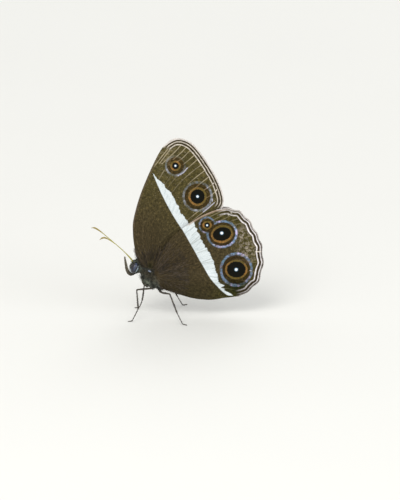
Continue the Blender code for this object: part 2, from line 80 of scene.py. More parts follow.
# Wings: hinge, edges and veins, as (x, z).
HINGE = (-4.7, 8.0)
FOREWING_HIND_MARGIN = ((7.3, 19.6), (3.6, 16.8), (-0.9, 12.6), (-3.7, 9.7), (-4.5, 8.3))
FOREWING_OUTER_EDGE = (
    (-1.8, 32.4), (0.1, 33.25), (2.4, 32.5), (4.5, 30.1), (6.9, 26.1), (8.15, 22.8), (8.2, 20.9),
)
FOREWING_COSTA = ((-7.92, 15.6), (-7.75, 18.4), (-6.3, 23.5), (-3.6, 29.8))
FOREWING_EDGE = (
    (-5.4, 8.5), (-6.95, 10.2), (-7.6, 12.6), *FOREWING_COSTA, *FOREWING_OUTER_EDGE,
    *FOREWING_HIND_MARGIN,
)
FOREWING_TERMEN = ((-2.6, 31.4), *FOREWING_OUTER_EDGE, FOREWING_HIND_MARGIN[0])
FOREWING_VEINS = {
    "subcosta": ((-5.3, 9.0), (-7.1, 13.6), (-7.15, 18.2), (-6.45, 22.6)),
    "radius": ((-5.0, 9.2), (-6.2, 15.4), (-4.3, 21.6)),
    "radius_1": ((-6.2, 15.4), (-5.9, 20.6), (-5.65, 25.0)),
    "radius_2": ((-4.3, 21.6), (-4.55, 24.6), (-4.75, 27.4)),
    "radius_3": ((-4.3, 21.6), (-3.9, 26.2), (-3.4, 30.2)),
    "radius_4": ((-4.15, 24.0), (-3.0, 28.4), (-2.0, 32.1)),
    "radius_5": ((-4.1, 24.2), (-2.1, 29.0), (-0.3, 33.1)),
    "media_1": ((-4.3, 21.6), (-1.5, 27.5), (1.5, 32.9)),
    "cell_end": ((-4.3, 21.6), (-3.3, 19.6), (-0.7, 17.9)),
    "media_2": ((-3.3, 19.6), (0.2, 26.3), (4.0, 30.7)),
    "media_3": ((-0.7, 17.9), (2.2, 23.9), (5.5, 28.6)),
    "cubitus": ((-4.7, 9.0), (-3.2, 13.5), (-0.7, 17.9)),
    "cubitus_1": ((-1.5, 16.7), (2.4, 22.6), (7.0, 25.9)),
    "cubitus_2": ((-2.8, 14.4), (2.6, 18.6), (8.05, 22.4)),
    "anal": ((-4.4, 8.9), (0.2, 14.4), (7.5, 20.1)),
}
FOREWING_LAST_VEINS = ("radius_5", "media_1", "media_2", "media_3",
                       "cubitus_1", "cubitus_2", "anal")
HINDWING_COSTA = (
    (-4.1, 7.4), (-3.95, 9.9), (-3.4, 11.3), (-1.35, 14.55), (1.35, 17.0), (4.05, 18.85),
    (6.75, 20.05),
)
HINDWING_TERMEN = {
    "subcosta": (9.0, 20.4),
    "radius": (11.2, 19.75),
    "media_1": (13.05, 17.85),
    "media_2": (14.35, 15.5),
    "media_3": (15.15, 13.4),
    "cubitus_1": (15.45, 9.95),
    "cubitus_2": (14.6, 6.5),
    "anal": (12.6, 4.5),
}
HINDWING_INNER_EDGE = (
    (10.4, 3.72), (7.4, 3.4), (4.8, 3.38), (2.5, 3.72), (-0.9, 4.9), (-2.7, 5.55),
    (-3.6, 6.4),
)
# The dips between the hindwing's veins: their depth, the point that they dip towards, and how
# near to the line between two veins' ends an edge point counts.
SCALLOP = 0.24
SCALLOP_MIDDLE = (8.0, 11.0)
SCALLOP_REACH = 0.4
# Spacing of the points of veins, folds and streaks, how far in a fold reaches, and the spacing
# of the outer edge's points.
LINE_STEP = 0.3
FOLD_REACH = 9.0
TERMEN_STEP = 0.2
# The hindwing's root, and the corners of the cell that its inner veins enclose.
HINDWING_ROOT = (-3.75, 7.5)
CELL_UP, CELL_MIDDLE, CELL_DOWN = (1.9, 13.3), (2.7, 11.6), (3.2, 9.7)
HINDWING_VEINS = {
    "subcosta": (HINDWING_ROOT, (-1.2, 13.0), (3.9, 17.7), HINDWING_TERMEN["subcosta"]),
    "sector": (HINDWING_ROOT, (-1.6, 9.9), CELL_UP),
    "radius": (CELL_UP, (6.4, 17.3), HINDWING_TERMEN["radius"]),
    "media_1": (CELL_UP, (7.2, 16.3), HINDWING_TERMEN["media_1"]),
    "cell_end": (CELL_UP, CELL_MIDDLE, CELL_DOWN),
    "media_2": (CELL_MIDDLE, (8.2, 13.6), HINDWING_TERMEN["media_2"]),
    "media_3": (CELL_DOWN, (8.9, 11.9), HINDWING_TERMEN["media_3"]),
    "cubitus": (HINDWING_ROOT, (-0.7, 8.7), CELL_DOWN),
    "cubitus_1": ((2.2, 9.45), (8.6, 10.6), HINDWING_TERMEN["cubitus_1"]),
    "cubitus_2": ((0.4, 9.0), (8.0, 7.3), HINDWING_TERMEN["cubitus_2"]),
    "anal": (HINDWING_ROOT, (2.6, 6.5), HINDWING_TERMEN["anal"]),
    "anal_3": (HINDWING_ROOT, (-0.4, 5.5), (4.9, 4.2)),
}

# The white band, from the forewing's front edge down to the tail end of the hindwing.
FOREWING_BAND_INNER = (
    (-4.25, 26.46), (-2.77, 22.86), (-0.82, 18.99), (0.66, 16.55), (1.88, 14.35), (3.0, 12.4),
)
FOREWING_BAND_OUTER = (
    (-4.16, 26.5), (-2.77, 25.03), (-1.05, 22.99), (0.29, 20.53), (0.66, 19.25),
    (1.37, 18.61), (2.0, 17.32), (3.34, 14.67),
)
HINDWING_BAND_INNER = (
    (-0.82, 19.29), (0.66, 16.85), (1.88, 14.65), (3.84, 10.8), (5.55, 7.88), (7.02, 6.11),
    (8.73, 4.12), (9.84, 3.9),
)
HINDWING_BAND_OUTER = (
    (1.55, 20.41), (2.86, 17.88), (3.96, 15.37), (5.05, 13.0), (6.12, 11.33), (6.49, 9.85),
    (7.06, 8.0), (7.54, 6.5), (8.45, 5.98), (7.85, 5.65), (8.45, 5.15), (9.25, 4.55), (9.95, 4.0),
)

# Eyespots: centre, turn in degrees, then the half width and half height of the black core,
# the ochre ring, and the inner and outer side of the pale ring. Then come the pale ring's
# mean strength, how much it changes round the spot and the angle where it is strongest. Then
# come the angle where the ochre is warmest and on how many sides it is warm, and last the place
# and radius of the white pupil.
FOREWING_SPOTS = (
    ((-0.32, 28.19), 0, ((0.6, 0.66), (1.0, 0.98), (1.52, 1.58), (1.84, 1.93)), 0.45, 0.4, 235,
     225, 2, (-0.32, 28.19), 0.19),
    ((3.61, 22.46), 0, ((1.28, 1.36), (1.68, 1.78), (2.3, 2.42), (2.7, 2.84)), 0.75, 0.15, 300,
     205, 1, (3.61, 22.46), 0.23),
)
HINDWING_SPOTS = (
    ((5.32, 17.28), 0, ((0.5, 0.52), (0.88, 0.88), (1.24, 1.3), (1.52, 1.58)), 0.6, 0.1, 120,
     180, 2, (5.32, 17.28), 0.18),
    ((7.98, 15.5), 14, ((1.68, 1.28), (2.02, 1.78), (2.36, 2.22), (2.76, 2.64)), 0.85, 0.2, 10,
     250, 1, (7.93, 15.66), 0.27),
    ((10.54, 8.81), 0, ((1.7, 1.52), (2.06, 1.86), (2.5, 2.74), (2.95, 3.22)), 0.75, 0.3, 110,
     170, 2, (10.52, 8.81), 0.28),
)
# Short pale strokes round the eyespots.
FOREWING_STROKES = (
    ((0.12, 26.31), (1.11, 26.91), (1.82, 27.81)),
    ((4.59, 19.55), (5.57, 20.3), (6.4, 21.1), (6.6, 21.3)),
    ((5.3, 24.05), (5.42, 24.1)), ((6.27, 21.95), (6.22, 21.55)),
)
HINDWING_STROKES = (
    ((12.95, 8.62), (13.2, 8.62)), ((10.1, 16.85), (10.25, 16.7)), ((10.52, 16.3), (10.6, 15.85)),
    ((10.33, 14.8), (10.42, 14.65)), ((6.35, 13.52), (6.65, 13.42)),
)
# Pale ticks across the dark edge lines, where a vein ends.
FOREWING_TICKS = (((6.38, 24.85), (6.45, 24.95)), ((6.93, 23.5), (6.98, 23.75)))
HINDWING_TICKS = (
    ((14.0, 12.15), (15.1, 12.2)), ((9.55, 19.5), (9.72, 19.46)), ((9.07, 19.16), (9.17, 19.12)),
)
# Fine pale streaks of the forewing, along its veins and folds.
FOREWING_STREAKS = (
    ((-4.1, 28.0), (-2.9, 29.7), (-1.2, 31.9)),
    ((-3.12, 28.66), (-1.68, 30.65), (-0.32, 32.34)),
    ((-2.71, 28.55), (-1.52, 29.73), (-0.32, 30.89), (0.66, 32.02)),
    ((-0.77, 29.34), (0.61, 30.54), (1.59, 31.66)),
    ((-0.32, 28.77), (0.86, 29.56), (1.89, 30.63), (2.36, 31.02)),
    ((1.02, 28.4), (1.89, 29.11), (3.07, 30.18)),
    ((-1.84, 23.85), (-1.18, 24.83), (0.02, 26.26), (1.91, 27.83), (3.07, 28.88), (3.71, 29.47)),
    ((-1.18, 22.86), (0.61, 25.19), (2.82, 27.23), (4.18, 28.3)),
    ((1.89, 24.74), (2.82, 25.62), (4.02, 26.61), (4.98, 27.36)),
    ((2.0, 23.0), (3.34, 24.19), (4.36, 25.09), (5.71, 26.2)),
    ((4.77, 23.66), (5.8, 24.38), (6.39, 24.9)),
    ((5.2, 22.22), (6.21, 22.86), (6.98, 23.57)),
    ((-3.34, 25.54), (-2.29, 27.42)),
    ((-2.29, 24.51), (-1.18, 26.26)),
    ((2.2, 17.6), (4.6, 19.5), (6.85, 21.55)),
    ((1.6, 17.9), (3.4, 19.4), (4.6, 20.3)),
)
# Soft patches of pale dust and of darker brown on the wings: centre, half width and height,
# and strength. The forewing's small full-strength patch at its root is painted shade in the slit
# between the wings' roots.
FOREWING_DUST = (((-2.0, 30.0), (1.7, 2.8), 1.0),)
HINDWING_DUST = (((11.9, 15.2), (1.3, 1.8), 1.0), ((12.6, 12.4), (1.7, 2.0), 1.0))
FOREWING_DARK_AND_SHADE = (((-2.5, 12.0), (3.5, 5.0), 0.25), ((-4.9, 9.6), (0.4, 0.65), 1.0))
HINDWING_GLOOM = (((11.2, 5.2), (4.2, 1.9), 1.0), ((1.5, 4.6), (9.5, 2.6), 0.45))

# How the two kinds of wing differ in colour. Two values of a "fade" are where a change starts
# and ends, a "share" is how much of a colour shows, and a tone is what a colour is multiplied
# by. An edge line has its distance from the edge, its half width and its strength.
WING_LOOKS = {
    "forewing": {
        "outer_fade": (0.3, 0.85), "outer_tone": None,
        "plum_share": 0.35, "plum_tone": (0.84, 0.8, 0.94),
        "dust": (148, 137, 110), "dust_share": 0.6,
        "streak_fade": (6.5, 1.3), "streak_least": 0.25, "streak_share": 0.75,
        "ring_light": (170, 172, 184),
        "edge_lines": ((1.12, 0.09, 0.95), (0.6, 0.08, 0.9)),
        "last_fade": (0.3, 0.18), "last_share": 0.7,
        "rim": (112, 96, 84), "rim_share": 0.35,
    },
    "hindwing": {
        "outer_fade": (0.6, 1.0), "outer_tone": (0.86, 0.9, 0.7),
        "plum_share": 0.9, "plum_tone": (0.76, 0.73, 0.82),
        "dust": (176, 164, 150), "dust_share": 0.75,
        "streak_fade": (4.5, 1.5), "streak_least": 0.0, "streak_share": 0.32,
        "ring_light": (196, 188, 230),
        "edge_lines": ((1.0, 0.12, 1.0), (0.38, 0.09, 0.95)),
        "last_fade": (0.2, 0.1), "last_share": 0.45,
        "rim": (172, 150, 132), "rim_share": 0.8,
    },
}
# Tones of the ground colour: the pattern, the values at which it starts and is full, its full
# strength, and the tone.
GROUND_TONES = (
    ("coarse", 0.35, 0.75, 0.4, (0.7, 0.68, 0.64)),
    ("rays", 0.35, 0.8, 0.5, (1.45, 1.42, 1.35)),
    ("specks", 0.5, 0.68, 1.0, (2.15, 2.0, 1.85)),
    ("specks", 0.5, 0.33, 1.0, (0.33, 0.33, 0.33)),
)
VEIN_TONE = (1.5, 1.55, 1.7)
DARK_AND_SHADE_TONE = (0.26, 0.34, 0.26)
BAND_TONES = {"rays": (0.8, 0.83, 0.83), "grain": (0.84, 0.86, 0.86)}
HALO_TONE = (0.6, 0.5, 0.42)
RING_TONE = (0.75, 0.82, 0.7)
# Width that stands for one radian round the hinge in the wings' patterns.
RADIAN_WIDTH = 8.0

# Wing net: how far its points stay from the rim and from the lines, in steps of the net.
RIM_CLEARANCE, LINE_CLEARANCE = 0.6, 0.55
# Wing relief: a vein's half width, what is left of the thickness at the rim and of the veins at
# the outer edge, and the height of the soft waves.
VEIN_HALF_WIDTH, RELIEF_LEFT, WAVE_HEIGHT = 0.1, 0.35, 0.02

ANTENNA_PATHS = {
    "left": (
        (-7.85, -0.3, 9.7), (-8.2, -0.42, 10.5), (-9.4, -0.8, 12.1), (-10.55, -1.15, 13.35),
        (-11.9, -1.5, 14.5), (-12.75, -1.7, 15.05), (-13.35, -1.82, 15.1),
        (-13.85, -1.9, 14.75),
    ),
    "right": (
        (-7.85, 0.3, 9.7), (-8.2, 0.42, 10.45), (-9.45, 0.9, 11.6), (-10.9, 1.4, 12.8),
        (-12.6, 1.9, 14.15), (-13.8, 2.15, 15.1), (-14.8, 2.35, 15.65), (-15.4, 2.45, 15.6),
    ),
}
PALP_PATH = (
    (-7.6, 0.37, 8.0), (-8.35, 0.37, 7.75), (-8.95, 0.36, 8.5), (-9.15, 0.35, 9.6),
    (-9.35, 0.35, 10.75),
)
# Leg bases that swell the thorax's flanks: the two ends of each and its half thickness.
LEG_BASES = (
    ((-5.75, 0.5, 7.7), (-5.55, 0.6, 6.15), 0.42),
    ((-5.35, 0.95, 7.7), (-4.45, 0.85, 5.6), 0.34),
    ((-4.05, 1.0, 7.3), (-3.15, 0.8, 5.2), 0.34),
)
# Rows of paler hair down the flanks: the two ends of each and its strength.
PALE_ROWS = (
    ((-6.6, 0.6, 8.4), (-6.2, 0.8, 7.2), 0.3),
    ((-6.15, 1.2, 8.6), (-5.45, 1.15, 7.0), 0.85),
    ((-5.45, 1.15, 7.0), (-5.0, 1.0, 6.1), 0.4),
    ((-4.75, 1.35, 9.0), (-3.95, 1.2, 7.9), 0.8),
    ((-3.95, 1.2, 7.9), (-3.3, 0.95, 6.2), 0.6),
)
FOOT_HEIGHT = 0.09
HINDLEG_PATH = (
    (-3.1, 0.5, 5.9), (-3.1, 0.95, 4.75), (-2.6, 1.7, 4.75), (-1.35, 3.2, 5.05),
    (-0.05, 4.8, 2.0), (0.6, 5.15, 0.75), (0.95, 5.35, FOOT_HEIGHT), (1.65, 5.85, FOOT_HEIGHT),
)
LEG_PATHS = {
    "foreleg": {
        "left": ((-5.4, -0.6, 7.4), (-6.2, -0.9, 7.0), (-6.1, -0.95, 6.4), (-5.5, -0.9, 5.7)),
        "right": ((-5.4, 0.6, 7.4), (-6.25, 0.9, 6.9), (-6.2, 0.95, 6.2), (-5.75, 0.9, 5.5)),
    },
    "midleg": {
        "left": (
            (-4.5, -0.6, 6.2), (-4.55, -1.05, 5.4), (-7.25, -2.9, 5.75), (-6.98, -3.35, 2.3),
            (-7.75, -3.55, 0.75), (-8.1, -3.65, FOOT_HEIGHT), (-8.75, -3.8, FOOT_HEIGHT),
        ),
        "right": (
            (-4.5, 0.6, 6.2), (-4.6, 1.05, 5.1), (-5.95, 2.7, 4.7), (-6.3, 3.4, 1.7),
            (-6.65, 3.65, 0.7), (-6.95, 3.8, FOOT_HEIGHT), (-7.6, 4.0, FOOT_HEIGHT),
        ),
    },
    "hindleg": {side: tuple((x, sign * y, z) for x, y, z in HINDLEG_PATH)
                for side, sign in SIDES.items()},
}
# Rings on a walking leg's foot, and how far a claw stands off the floor.
FOOT_RINGS, CLAW_HEIGHT = 5, 0.004
BRUSH_LEG_HAIR = {"count": 1500, "lengths": (0.2, 0.4), "lifts": (0.1, 0.4)}
WALKING_LEG_HAIR = {"count": 900, "lengths": (0.12, 0.24), "lifts": (0.05, 0.22)}

# Tufts: where along each its three rings lie and how wide they are there, how deep its root
# sinks in, and the size of its patch in the coat's layout. Then comes the rim of the layout.
TUFT_STEPS = (0.0, 0.4, 0.75)
TUFT_WIDTHS = (0.75, 1.0, 0.6)
TUFT_SINK = 0.04
TUFT_PATCH = 0.003
LAYOUT_RIM, LAYOUT_SPAN = 0.02, 0.96
# Fringes: darkest hair, the share of their length that the membrane leaves free, the spacing of
# the edge's points, and the rows and the tufts between two points.
FRINGE_DARK = {"forewing": (196, 188, 178), "hindwing": (78, 66, 52)}
FRINGE_ROOM, FRINGE_STEP = 0.6, 0.1
FRINGE_ROWS, FRINGE_SHARES = 2, 4
# Hair over the wings' bases: its reach, its amount and how far its bundles differ. Then come
# their number, the angles round the hinge, the height over the membrane, and the slit between
# the wings' roots, as (x, z), where the hair is shortened and darkened as painted shade.
WING_HAIR = {
    "forewing": {"reach": 5.0, "count": 700, "contrast": 0.95},
    "hindwing": {"reach": 6.5, "count": 1200, "contrast": 0.6},
}
HAIR_BUNDLES, HAIR_ANGLES, HAIR_HEIGHT = 60, (-1.2, 2.4), 0.06
WING_SLIT = ((-4.75, 10.0), (-5.1, 8.9))
# Clumps of the thorax's hair, and the size of the table that their values come from.
CLUMP_WIDTH, CLUMP_LENGTH, CLUMP_TABLE = 0.28, 0.9, 64
# A pale tuft under each wing's hinge, whose blue-white colour is a painted highlight on the
# hair, and a dark one at each antenna's root.
SMALL_TUFTS = {
    "hinge": {"count": 24, "middle": (-5.1, 1.42, 8.8), "spread": (0.07, 0.04, 0.05),
              "normal": (-0.2, 1, 0.2), "lie": (0.7, 0.0, -0.3), "lengths": (0.2, 0.34),
              "tints": (0.4, 1)},
    "brow": {"count": 110, "middle": (-7.93, 0.4, 9.92), "spread": (0.11, 0.07, 0.04),
             "normal": (-0.2, 0.8, 0.4), "lie": (-0.1, -0.1, 1.0), "lengths": (0.26, 0.46),
             "tints": (0.0, 0.3)},
}
# Corners round a limb, and the spacing of an antenna's rings.
TUBE_CORNERS = 12
FEELER_RING = 0.26
# The body's middle line: heights at places along it.
AXIS_PLACES = (-8.4, -7.45, -5.9, -4.3, -2.5, 1.45, 6.6)
AXIS_HEIGHTS = (9.3, 9.0, 8.3, 7.05, 6.4, 5.95, 5.3)
# Neck and waist: their paths and half thicknesses.
NECK_AND_WAIST = (
    (((-7.4, 0, 8.9), (-6.6, 0, 8.7), (-5.8, 0, 8.4)), (0.75, 0.62, 0.8)),
    (((-4.0, 0, 6.4), (-3.0, 0, 6.2), (-2.0, 0, 6.2)), (0.9, 0.85, 0.8)),
)
# Fineness of the skin's mesh, and how often it is softened.
SKIN_CELL, SKIN_SOFTENING = 0.09, 8
# A palp's half thickness: shares along it, and its size there.
PALP_SHARES = (0, 0.25, 0.5, 0.8, 1.0)
PALP_RADII = (0.16, 0.19, 0.18, 0.12, 0.03)

# Camera: the point that it looks at, its height over the horizon in degrees, the height that
# its picture covers, and the width of its sensor.
CAMERA_AIM = (4.05, 0.0, 12.26)
CAMERA_ELEVATION = 18.0
VIEW_HEIGHT = 89.3
SENSOR = 36.0


def shade(red, green, blue):
    """A colour from its usual 0 to 255 values, as the linear values that shaders take."""
    return tuple(
        c / 12.92 if c <= 0.04045 else ((c + 0.055) / 1.055) ** 2.4
        for c in (red / 255, green / 255, blue / 255)
    )


def length(name, description, millimetres):
    """A length as a property."""
    return FloatProperty(name=name, description=description, default=millimetres * MM,
                         min=0.0, subtype="DISTANCE", unit="LENGTH", precision=6)


def amount(name, description, default, least=0.0):
    """A plain number as a property."""
    return FloatProperty(name=name, description=description, default=default, min=least)


def tuft_count(name, description, default):
    """A number of tufts as a property."""
    return IntProperty(name=name, description=description, default=default, min=0, max=12000)


def colour(name, description, red, green, blue):
    """A colour as a property, from its usual 0 to 255 values."""
    return FloatVectorProperty(name=name, description=description, subtype="COLOR",
                               default=shade(red, green, blue), min=0.0, max=1.0, size=3)


class BUSHBROWN_PG_wings(bpy.types.PropertyGroup):
    """Sizes and colours of the wings"""

    net_step: length("Net step", "Spacing of the points in the wing surface", 0.15)
    thickness: length("Thickness", "Thickness of the wing membrane", 0.11)
    vein_height: length("Vein height", "Height of the main veins over the membrane", 0.055)
    pleat_depth: length("Pleat depth", "Depth of the folds between the veins", 0.035)
    fringe_length: length("Fringe length", "Length of the hair scales on the outer edge", 0.34)
    base_brown: colour("Base brown", "Brown of the inner wing", 66, 58, 39)
    outer_brown: colour("Outer brown", "Brown of the outer wing", 74, 68, 39)
    dark_line: colour("Dark line", "Dark brown between the pale edge lines", 50, 41, 28)
    streak: colour("Streak", "Tan of the fine streaks along veins and folds", 190, 176, 148)
    band: colour("Band", "White of the band", 220, 227, 229)
    core: colour("Eyespot core", "Near black of the eyespots", 20, 20, 15)
    olive: colour("Olive ring", "Olive part of the ring round each eyespot", 104, 88, 42)
    ochre: colour("Ochre ring", "Ochre ring round each eyespot", 158, 112, 60)
    forewing_ring: colour("Forewing ring", "Outer ring of the forewing spots", 122, 128, 136)
    hindwing_ring: colour("Hindwing ring", "Outer ring of the hindwing spots", 116, 140, 172)
    forewing_line: colour("Forewing line", "Cream of its edge lines and ticks", 236, 226, 212)
    hindwing_line: colour("Hindwing line", "White of the hindwing's edge lines", 246, 240, 240)
    fringe: colour("Fringe", "Pale grey of the fringe", 236, 230, 226)
    upper_side: colour("Upper side", "Plain brown of the wings' hidden upper side", 54, 42, 30)


class BUSHBROWN_PG_coat(bpy.types.PropertyGroup):
    """Depth, length and colours of the body's coat"""

    depth: length("Depth", "How deep the skin lies under the coat", 0.22)
    thorax_length: length("Thorax hair", "Length of the hair on the thorax", 1.0)
    head_length: length("Head hair", "Length of the hair on the head", 0.5)
    abdomen_length: length("Abdomen scales", "Length of the scales on the abdomen", 0.4)
    thorax_tufts: tuft_count("Thorax tufts", "Number of tufts on the thorax", 12000)
    head_tufts: tuft_count("Head tufts", "Number of tufts on the head", 5000)
    abdomen_tufts: tuft_count("Abdomen tufts", "Number of tufts on the abdomen", 9500)
    dark: colour("Dark hair", "Darkest hair of the body", 22, 21, 17)
    light: colour("Light hair", "Lightest hair of the body", 150, 156, 138)
    shoulder_dark: colour("Dark shoulder hair", "Darkest hair round the wing hinges", 40, 37, 27)
    shoulder: colour("Shoulder hair", "Palest hair round the wing hinges", 140, 132, 108)
    palp: colour("Palp hair", "Hair of the palps", 160, 150, 126)


class BUSHBROWN_PG_limbs(bpy.types.PropertyGroup):
    """Sizes and colours of eyes, legs and antennae"""

    thigh_radius: length("Thigh radius", "Half the thickness of a thigh", 0.17)
    shin_radius: length("Shin radius", "Half the thickness of a shin", 0.12)
    foot_radius: length("Foot radius", "Half the thickness of a foot", 0.085)
    feeler_radius: length("Feeler radius", "Half the thickness of an antenna's shaft", 0.068)
    club_radius: length("Club radius", "Half the thickness of an antenna's club", 0.14)
    eye: colour("Eye", "Dark of the compound eye", 30, 28, 39)
    eye_sheen: colour("Eye sheen", "Blue grey in the middle of the eye", 62, 72, 96)
    # The eye's pale rim is a painted highlight; the same colour also paints the crescent at its
    # lower front.
    eye_rim: colour("Eye rim", "Pale grey along the eye's rear edge", 172, 188, 200)
    leg: colour("Leg", "Dark brown of the legs", 56, 50, 47)
    leg_pale: colour("Pale leg", "Olive brown of the legs' inner side", 112, 104, 76)
    feeler: colour("Antenna", "Ochre of the antennae", 172, 166, 72)
    feeler_dark: colour("Antenna rings", "Brown between the antennae's rings", 132, 106, 54)


class BUSHBROWN_PG_stage(bpy.types.PropertyGroup):
    """The floor, lights and camera"""

    floor_colour: colour("Floor", "Pale colour of the floor", 226, 226, 222)
    floor_radius: FloatProperty(name="Floor radius", description="Reach of the round floor",
                                default=6.0, min=0.5, unit="LENGTH", subtype="DISTANCE")
    key_power: amount("Key power", "Power of the main light in watts", 1.4)
    fill_power: amount("Fill power", "Power of the fill light in watts", 0.6)
    sky: amount("Sky", "Strength of the even light all round", 0.8)
    lens: amount("Lens", "Focal length in millimetres", 500.0, 20.0)


def smooth_step(low, high, value):
    """A smooth change from 0 to 1 as the value goes from low to high."""
    t = np.clip((np.asarray(value, float) - low) / (high - low), 0.0, 1.0)
    return t * t * (3 - 2 * t)


def unit(vectors):
    """Vectors brought to length one."""
    return vectors / np.maximum(np.linalg.norm(vectors, axis=-1, keepdims=True), 1e-12)


def norms(vectors):
    """The length of each vector."""
    return np.linalg.norm(vectors, axis=1)


def nearest_index(points, place):
    """Which of the points is nearest to a place."""
    return np.argmin(norms(points - place))


def piece_count(start, end, step):
    """How many pieces of about a step fit between two points."""
    return max(1, round(float(np.linalg.norm(end - start)) / step))


def curve_through(points, step, closed=False):
    """Points at about the given step along a smooth curve through the given ones."""
    points = np.array(points, float)
    count = len(points)
    found = []
    for i in range(count if closed else count - 1):
        start, end = points[i], points[(i + 1) % count]
        before = points[i - 1] if closed or i > 0 else start
        after = points[(i + 2) % count] if closed or i + 2 < count else end
        pieces = piece_count(start, end, step)
        t = (np.arange(pieces) / pieces)[:, None]
        found.append(0.5 * (2 * start + (end - before) * t
                            + (2 * before - 5 * start + 4 * end - after) * t ** 2
                            + (3 * start - before - 3 * end + after) * t ** 3))
    if not closed:
        found.append(points[-1:])
    return np.concatenate(found)


def distances_along(path):
    """How far along a path each of its points lies."""
    return np.concatenate([[0.0], np.cumsum(norms(np.diff(path, axis=0)))])


def nearest(points, line):
    """Each point's distance to a line, its side of it (1 to the left) and the share of the
    line's length at which it lies."""
    spans = np.diff(line, axis=0)
    reached = distances_along(line)
    best = np.full(len(points), np.inf)
    side = np.ones(len(points))
    share = np.zeros(len(points))
    for start, span, size, done in zip(line, spans, norms(spans), reached):
        away = points - start
        t = np.clip(away @ span / size ** 2, 0.0, 1.0)
        gap = norms(away - t[:, None] * span)
        nearer = gap < best
        best = np.where(nearer, gap, best)
        share = np.where(nearer, (done + t * size) / reached[-1], share)
        if points.shape[1] == 2:
            turn = np.sign(span[0] * away[:, 1] - span[1] * away[:, 0])
            side = np.where(nearer, np.where(turn == 0, 1.0, turn), side)
    return best, side, share


def nearest_of(points, lines):
    """Each point's distance to the nearest of several lines."""
    return np.min([nearest(points, line)[0] for line in lines], axis=0)


def inside(points, outline):
    """Whether each point lies inside an outline."""
    found = np.zeros(len(points), bool)
    x, z = points[:, 0], points[:, 1]
    for (ax, az), (bx, bz) in zip(outline, np.roll(outline, -1, axis=0)):
        if az == bz:
            continue
        crossing = ax + (bx - ax) * (z - az) / (bz - az)
        found ^= ((az > z) != (bz > z)) & (x < crossing)
    return found


def forewing_place(points):
    """How far the forewing lies from the middle plane. The real, thin wings close a little
    nearer than the thicker solids that they replace."""
    at_root, outside = FOREWING_AWAY["at_root"], FOREWING_AWAY["outside"]
    outward = smooth_step(0.0, FOREWING_ROOT_REACH, norms(points - HINGE))
    return at_root + (outside - at_root) * outward


def hindwing_place(points):
    """How far the hindwing lies from the middle plane. It passes over the forewing and
    round the abdomen, and closes in beyond them."""
    gaps = {
        "over_forewing": nearest(points, np.array(FOREWING_HIND_MARGIN))[0],
        "beside_abdomen": nearest(points, np.array(ABDOMEN_LINE))[0],
        "at_root": norms(points - HINGE),
    }
    shares = {key: 1 - smooth_step(*HINDWING_FADES[key], gap) for key, gap in gaps.items()}
    (ax, az), (bx, bz) = FOREWING_HIND_MARGIN[0], FOREWING_HIND_MARGIN[3]
    above = points[:, 1] > az + (bz - az) * (points[:, 0] - ax) / (bx - ax)
    shares["over_forewing"][above] = 1.0
    places = {**HINDWING_AWAY, "over_forewing": forewing_place(points) + HINDWING_OVER_FOREWING}
    rises = [(places[key] - places["outside"]) * shares[key] for key in shares]
    return places["outside"] + np.max(rises, axis=0)


def hindwing_outline(step):
    """The hindwing's edge, which dips a little between the ends of the veins."""
    corners = np.array(list(HINDWING_TERMEN.values()))
    edge = curve_through([*HINDWING_COSTA, *corners, *HINDWING_INNER_EDGE], step, True)
    for start, end in zip(corners, corners[1:]):
        span = end - start
        t = (edge - start) @ span / (span @ span)
        off = norms(edge - start - t[:, None] * span)
        dips = (t > 0) & (t < 1) & (off < SCALLOP_REACH)
        inward = unit(np.array(SCALLOP_MIDDLE) - edge)
        edge += inward * np.where(dips, SCALLOP * np.sin(math.pi * t) ** 2, 0.0)[:, None]
    return edge


def hindwing_termen():
    """The hindwing's outer edge, from its front corner to the tail end of its inner edge."""
    edge = hindwing_outline(TERMEN_STEP)
    start = nearest_index(edge, HINDWING_COSTA[-1])
    return edge[start:nearest_index(edge, HINDWING_INNER_EDGE[0]) + 1]


def wing_rays(kind):
    """A wing's folds half way between its last veins, and its fine pale streaks."""
    plan = WINGS[kind]
    veins = [curve_through(plan["veins"][name], LINE_STEP) for name in plan["last_veins"]]
    folds = []
    for first, second in zip(veins, veins[1:]):
        count = min(len(first), len(second), round(FOLD_REACH / LINE_STEP))
        folds.append(0.5 * (first[-count:] + second[-count:]))
    streaks = [curve_through(line, LINE_STEP) for line in plan["streaks"]]
    return folds, streaks or veins + folds


